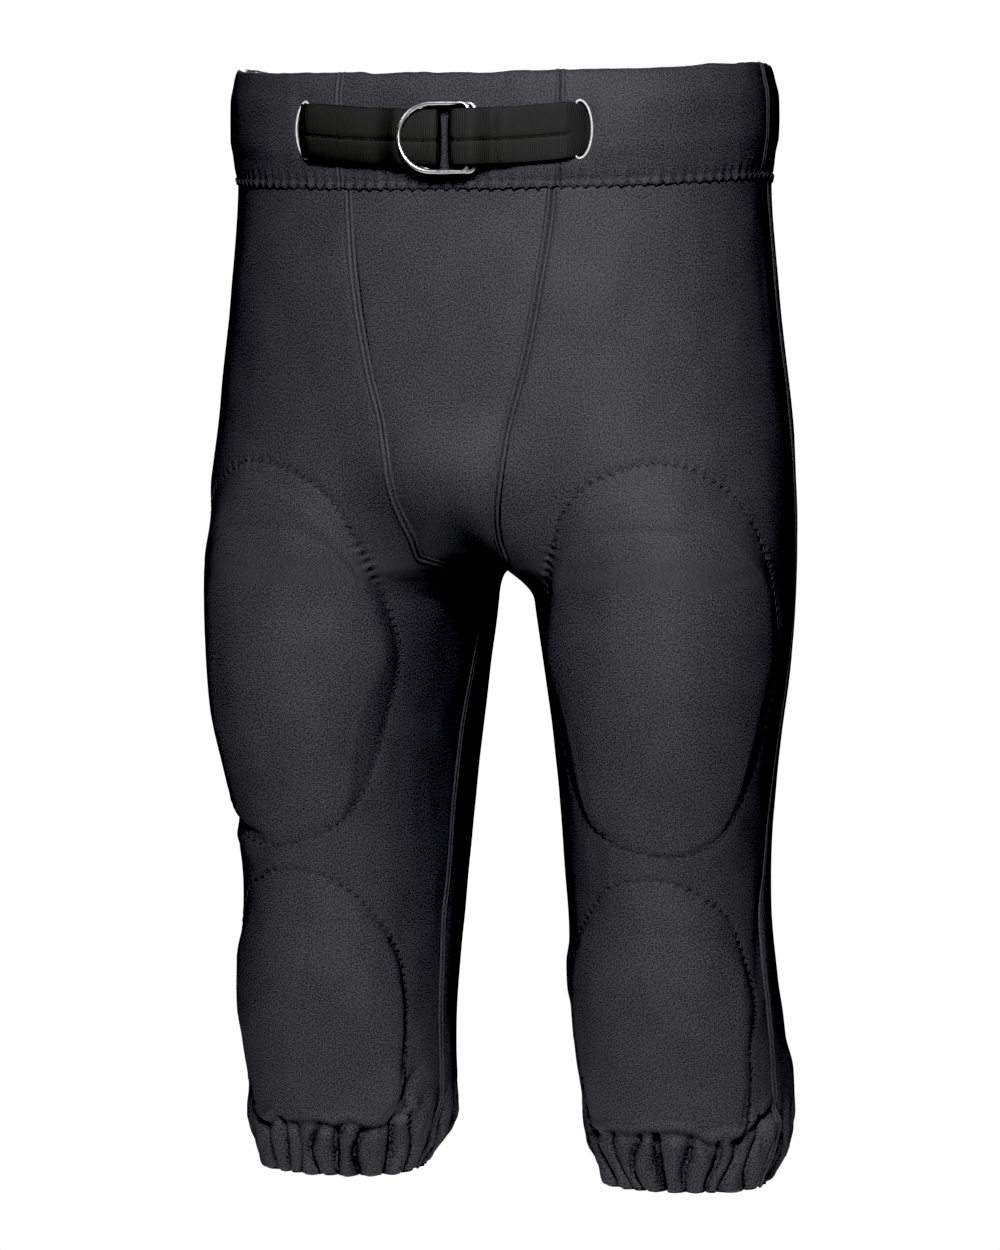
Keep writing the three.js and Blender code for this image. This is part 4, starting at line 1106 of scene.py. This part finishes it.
def pad(name, side):
    """Foam pad under the cloth, rounded at its rim."""
    line, _, scale = OUTLINES[name]
    u, zz = pocket_grid(line, 1.0, 1, 46, 34)
    phi = np.radians(u)
    points, normals = surface(phi, zz)
    ends = np.minimum(zz - zz[0, 0], zz[-1, 0] - zz)
    sides_in = np.minimum(u - u[:, :1], u[:, -1:] - u) * scale
    rim = np.clip(np.minimum(ends, sides_in) / 7.0, 0, 1)
    dome = np.sqrt(1 - (1 - rim) ** 2)
    top = relief(phi, zz, side) - CLOTH - 0.9 - 2.5 * (1 - dome)
    low = top - PAD_THICKNESS[name] * mix(0.35, 1, dome)
    dents = 0.3 * FAST[side](u / 4, zz / 6)
    obj = shell(f"{name}_foam_{SIDE_NAME[side]}", raised(points, normals, top + dents * 0.3, side),
                raised(points, normals, low + dents, side), foam, grid_weave(points))
    dress(obj, "pants", "pad_foam", f"{name}_pad_{SIDE_NAME[side]}")


def pocket_lining(name, side):
    """Lining that holds a pad against the panel, close to the cloth at its edges."""
    line, stitch, scale = OUTLINES[name]
    u, zz = pocket_grid(stitch, 2.5, 2, 70, 60)
    phi = np.radians(u)
    points, normals = surface(phi, zz)
    to_pad, _, on_pad = line_field(line, u, zz, scale, True)
    cover = np.where(on_pad, 1.0, ease(1 - to_pad / 9.0))
    sag = 0.4 * SLOW[side](u / 9 + 30, zz / 14)
    depth = mix(CLOTH + 1.7, CLOTH + 2.4 + PAD_THICKNESS[name], cover) + sag
    height = relief(phi, zz, side) - depth
    obj = shell(f"{name}_lining_{SIDE_NAME[side]}", raised(points, normals, height, side),
                raised(points, normals, height - POCKET_CLOTH, side), lining, grid_weave(points))
    return dress(obj, "pants", "lining", f"{name}_pocket_lining_{SIDE_NAME[side]}")


# ---- hem ----
HEM_COLUMNS = 420
RETURN_DEPTHS, ELASTIC_DEPTHS = (4.0, 4.9), (9.0, 9.5)     # outer and inner face, below the cloth


def hem_ring(side, depths, rows, ripple):
    """Closed rings round the hem at the given depths and levels, with softer pleats."""
    phi = np.linspace(0, TURN, HEM_COLUMNS, endpoint=False)[None]
    zz = rows[:, None] + 0 * phi
    phi = phi + 0 * zz
    points, normals = surface(phi, zz)
    u = np.degrees(phi)
    arch, _ = GATHERS[side](u, zz)
    drawn = drawn_in((u + 180) % 360 - 180, zz)
    depth = np.asarray(depths)[:, None] + drawn - ripple * (arch - 0.5)
    return points - unit(normals * np.array([1, 1, 0])) * depth[..., None]


def hem(side):
    """The hem's return inside the leg, and the elastic that it holds."""
    rows = np.linspace(HEM_FOLD + 0.4, HEM_TOP, 16)
    up = ease(np.arange(16) / 5)
    ripple = mix(9.0, 1.6, up)[:, None]
    outer, inner = (hem_ring(side, mix(low, low + 6.4, up), rows, ripple) for low in RETURN_DEPTHS)
    loop = np.concatenate([outer, inner[::-1]])
    obj = make(f"hem_return_{SIDE_NAME[side]}", *tube_mesh(mirror(tilt(loop), side), True), knit,
               grid_weave(loop))
    dress(obj, "pants", "knit", f"hem_casing_{SIDE_NAME[side]}")
    rows = np.linspace(HEM_FOLD + 5, HEM_TOP - 2, 10)
    outer, inner = (hem_ring(side, np.full(10, depth), rows, 0.2) for depth in ELASTIC_DEPTHS)
    loop = np.concatenate([outer, inner[::-1]])
    ring = make(f"elastic_{SIDE_NAME[side]}", *tube_mesh(mirror(tilt(loop), side), True), elastic)
    dress(ring, "pants", "elastic", f"hem_elastic_{SIDE_NAME[side]}")
    return obj


# ---- build ----
legs = {(which, side): leg_panel(which, side) for side in (LEFT, RIGHT) for which in ("front", "back")}
centre = centre_panel()

SEAM_TOP, SEAM_FOOT = WAIST - 2.5, -653
for side in (LEFT, RIGHT):
    name = SIDE_NAME[side]
    z = np.linspace(SEAM_TOP, CROTCH + 0.5, 150)
    cloth_seam(f"front_seam_{name}", front_seam(z), z, side)
    z = np.linspace(CROTCH - 0.5, SEAM_FOOT, 260)
    cloth_seam(f"inseam_{name}", front_seam(z), z, side)
    z = np.linspace(SEAM_TOP, SEAM_FOOT, 400)
    cloth_seam(f"side_seam_{name}", side_seam(z), z, side)
    z = np.linspace(GUSSET_TIP, CROTCH + 0.5, 90)
    cloth_seam(f"gusset_seam_{name}", back_seam(z) - TURN, z, side)
z = np.linspace(SEAM_TOP, GUSSET_TIP, 70)
cloth_seam("centre_back_seam", angle_at(z, 0.001, True), z, LEFT)

for side in (LEFT, RIGHT):
    for which in ("thigh", "knee"):
        line = OUTLINES[which][1]
        if which == "thigh":
            line = np.vstack([line, line[:1]])
        dense = np.linspace(0, len(line) - 1, 6 * len(line))
        u, z = read_along(dense, np.arange(len(line)), line).T
        zigzag(f"{which}_pocket_stitch_{SIDE_NAME[side]}", *cloth_path(np.radians(u), z, side, 0.35),
               ZIGZAG_PITCH, 3.0, 0.38)

bands = {"centre": band_piece("band_front_centre", -SEAM_FRONT + 0.1, SEAM_FRONT - 0.1,
                              "waistband_front_centre")}
for side in (LEFT, RIGHT):
    name = SIDE_NAME[side]
    ends = sorted((side * (SEAM_FRONT + 0.1), side * (SEAM_SIDE - 0.1)))
    bands["front", side] = band_piece(f"band_front_{name}", *ends, f"waistband_front_{name}")
    cut_slot(bands["front", side], side)
    ends = sorted((side * (SEAM_SIDE + 0.1), side * (HALF_WAIST - 0.1)))
    bands["back", side] = band_piece(f"band_back_{name}", *ends, f"waistband_back_{name}")
    binding(side)
    for label, s in (("front", SEAM_FRONT), ("side", SEAM_SIDE)):
        depth, level = rounded([(2.2, -38.0)] + BAND_FRONT + [(6.4, 29.6)], False, 6).T
        here = np.full(len(depth), side * s, float)
        h = band_relief(here, level, depth) - 0.1
        path = tilt(along_waist(here, depth - h, level))
        sideways = np.cross(along_out(here), [0, 0, 1.0])
        normals = unit(np.cross(sideways, unit(np.gradient(path, axis=0))))
        if (normals * along_out(here)).sum() < 0:
            normals = -normals
        seam(f"band_{label}_seam_{name}", f"band_{label}_seam_stitches_{name}", path, normals)

s = np.linspace(-HALF_WAIST, HALF_WAIST, 900)
level = np.full(len(s), -37.4)
path = tilt(along_waist(s, 2.0 - band_relief(s, level, 0 * s) - 0.35, level))
zigzag("waist_zigzag", path, along_out(s), 7.3, 4.0, 0.4, True)

belt()
d_ring("d_ring_outer", 17.0, -9.1, -13.0, "outer_ring")
d_ring("d_ring_inner", 20.5, -5.75, -6.1, "pants")

linings, returns = {}, {}
for side in (LEFT, RIGHT):
    for which in PAD_THICKNESS:
        pad(which, side)
    for which in PAD_THICKNESS:
        linings[which, side] = pocket_lining(which, side)
    returns[side] = hem(side)

# ---- stage, light and camera ----
FLOOR_HALF, FLOOR_LEVEL = 900, -1050
corners = [(x * FLOOR_HALF, y * FLOOR_HALF, FLOOR_LEVEL)
           for x, y in ((-1, -1), (1, -1), (1, 1), (-1, 1))]
floor = make("floor", corners, [(0, 1, 2, 3)],
             grain_material("pale_floor", (0.8, 0.8, 0.8), 0.7, 6, 0.02, 0.0002))

world = bpy.data.worlds.new("studio")
bpy.context.scene.world = world
world.use_nodes = True
tree = world.node_tree
background = tree.nodes["Background"]
background.inputs[0].default_value = (1, 1, 1, 1)
background.inputs[1].default_value = 0.025
backdrop = node(tree, "ShaderNodeBackground", {0: (1, 1, 1, 1), 1: 1.0})
path_node = node(tree, "ShaderNodeLightPath")
blend = node(tree, "ShaderNodeMixShader", {0: path_node.outputs["Is Camera Ray"],
                                           1: background.outputs[0], 2: backdrop.outputs[0]})
tree.links.new(blend.outputs[0], tree.nodes["World Output"].inputs[0])

YAW = math.radians(18)
toward = np.array([math.sin(YAW), -math.cos(YAW), 0.0])
right = np.array([math.cos(YAW), math.sin(YAW), 0.0])


def aim(obj, target):
    direction = Vector(target) - Vector(obj.location)
    obj.rotation_euler = direction.to_track_quat("-Z", "Y").to_euler()


def soft_light(name, azimuth, distance, height, size, power, target=(0, 0, -0.3)):
    data = bpy.data.lights.new(name, "AREA")
    data.shape = "DISK"
    data.size = size
    data.energy = power
    obj = bpy.data.objects.new(name, data)
    a = math.radians(azimuth)
    obj.location = (distance * math.sin(a), -distance * math.cos(a), height)
    aim(obj, target)
    bpy.context.scene.collection.objects.link(obj)


soft_light("key", 17, 3.2, 1.35, 1.3, 158)
soft_light("left", -62, 2.6, 1.5, 1.0, 12, (0, 0, 0))
soft_light("right", 98, 2.6, 1.5, 1.0, 9, (0, 0, 0))
soft_light("back", 198, 3.2, 1.2, 1.0, 160)
view = bpy.context.scene.view_settings
view.view_transform = "Standard"
view.use_curve_mapping = True
view.curve_mapping.black_level = (0.033, 0.0324, 0.0352)

camera_data = bpy.data.cameras.new("camera")
camera = bpy.data.objects.new("camera", camera_data)
bpy.context.scene.collection.objects.link(camera)
bpy.context.scene.camera = camera
CAMERA_DISTANCE, CAMERA_HEIGHT, AIM_HEIGHT = 3.4, -0.117, -0.307
offset = right * -0.0019
camera.location = tuple(toward * CAMERA_DISTANCE + offset + np.array([0, 0, CAMERA_HEIGHT]))
aim(camera, tuple(offset + np.array([0, 0, AIM_HEIGHT])))
camera_data.sensor_fit = "HORIZONTAL"
camera_data.sensor_width = 36
camera_data.lens = 196.7

# ---- a last pass over the two sides ----
for side in (LEFT, RIGHT):
    name = SIDE_NAME[side]
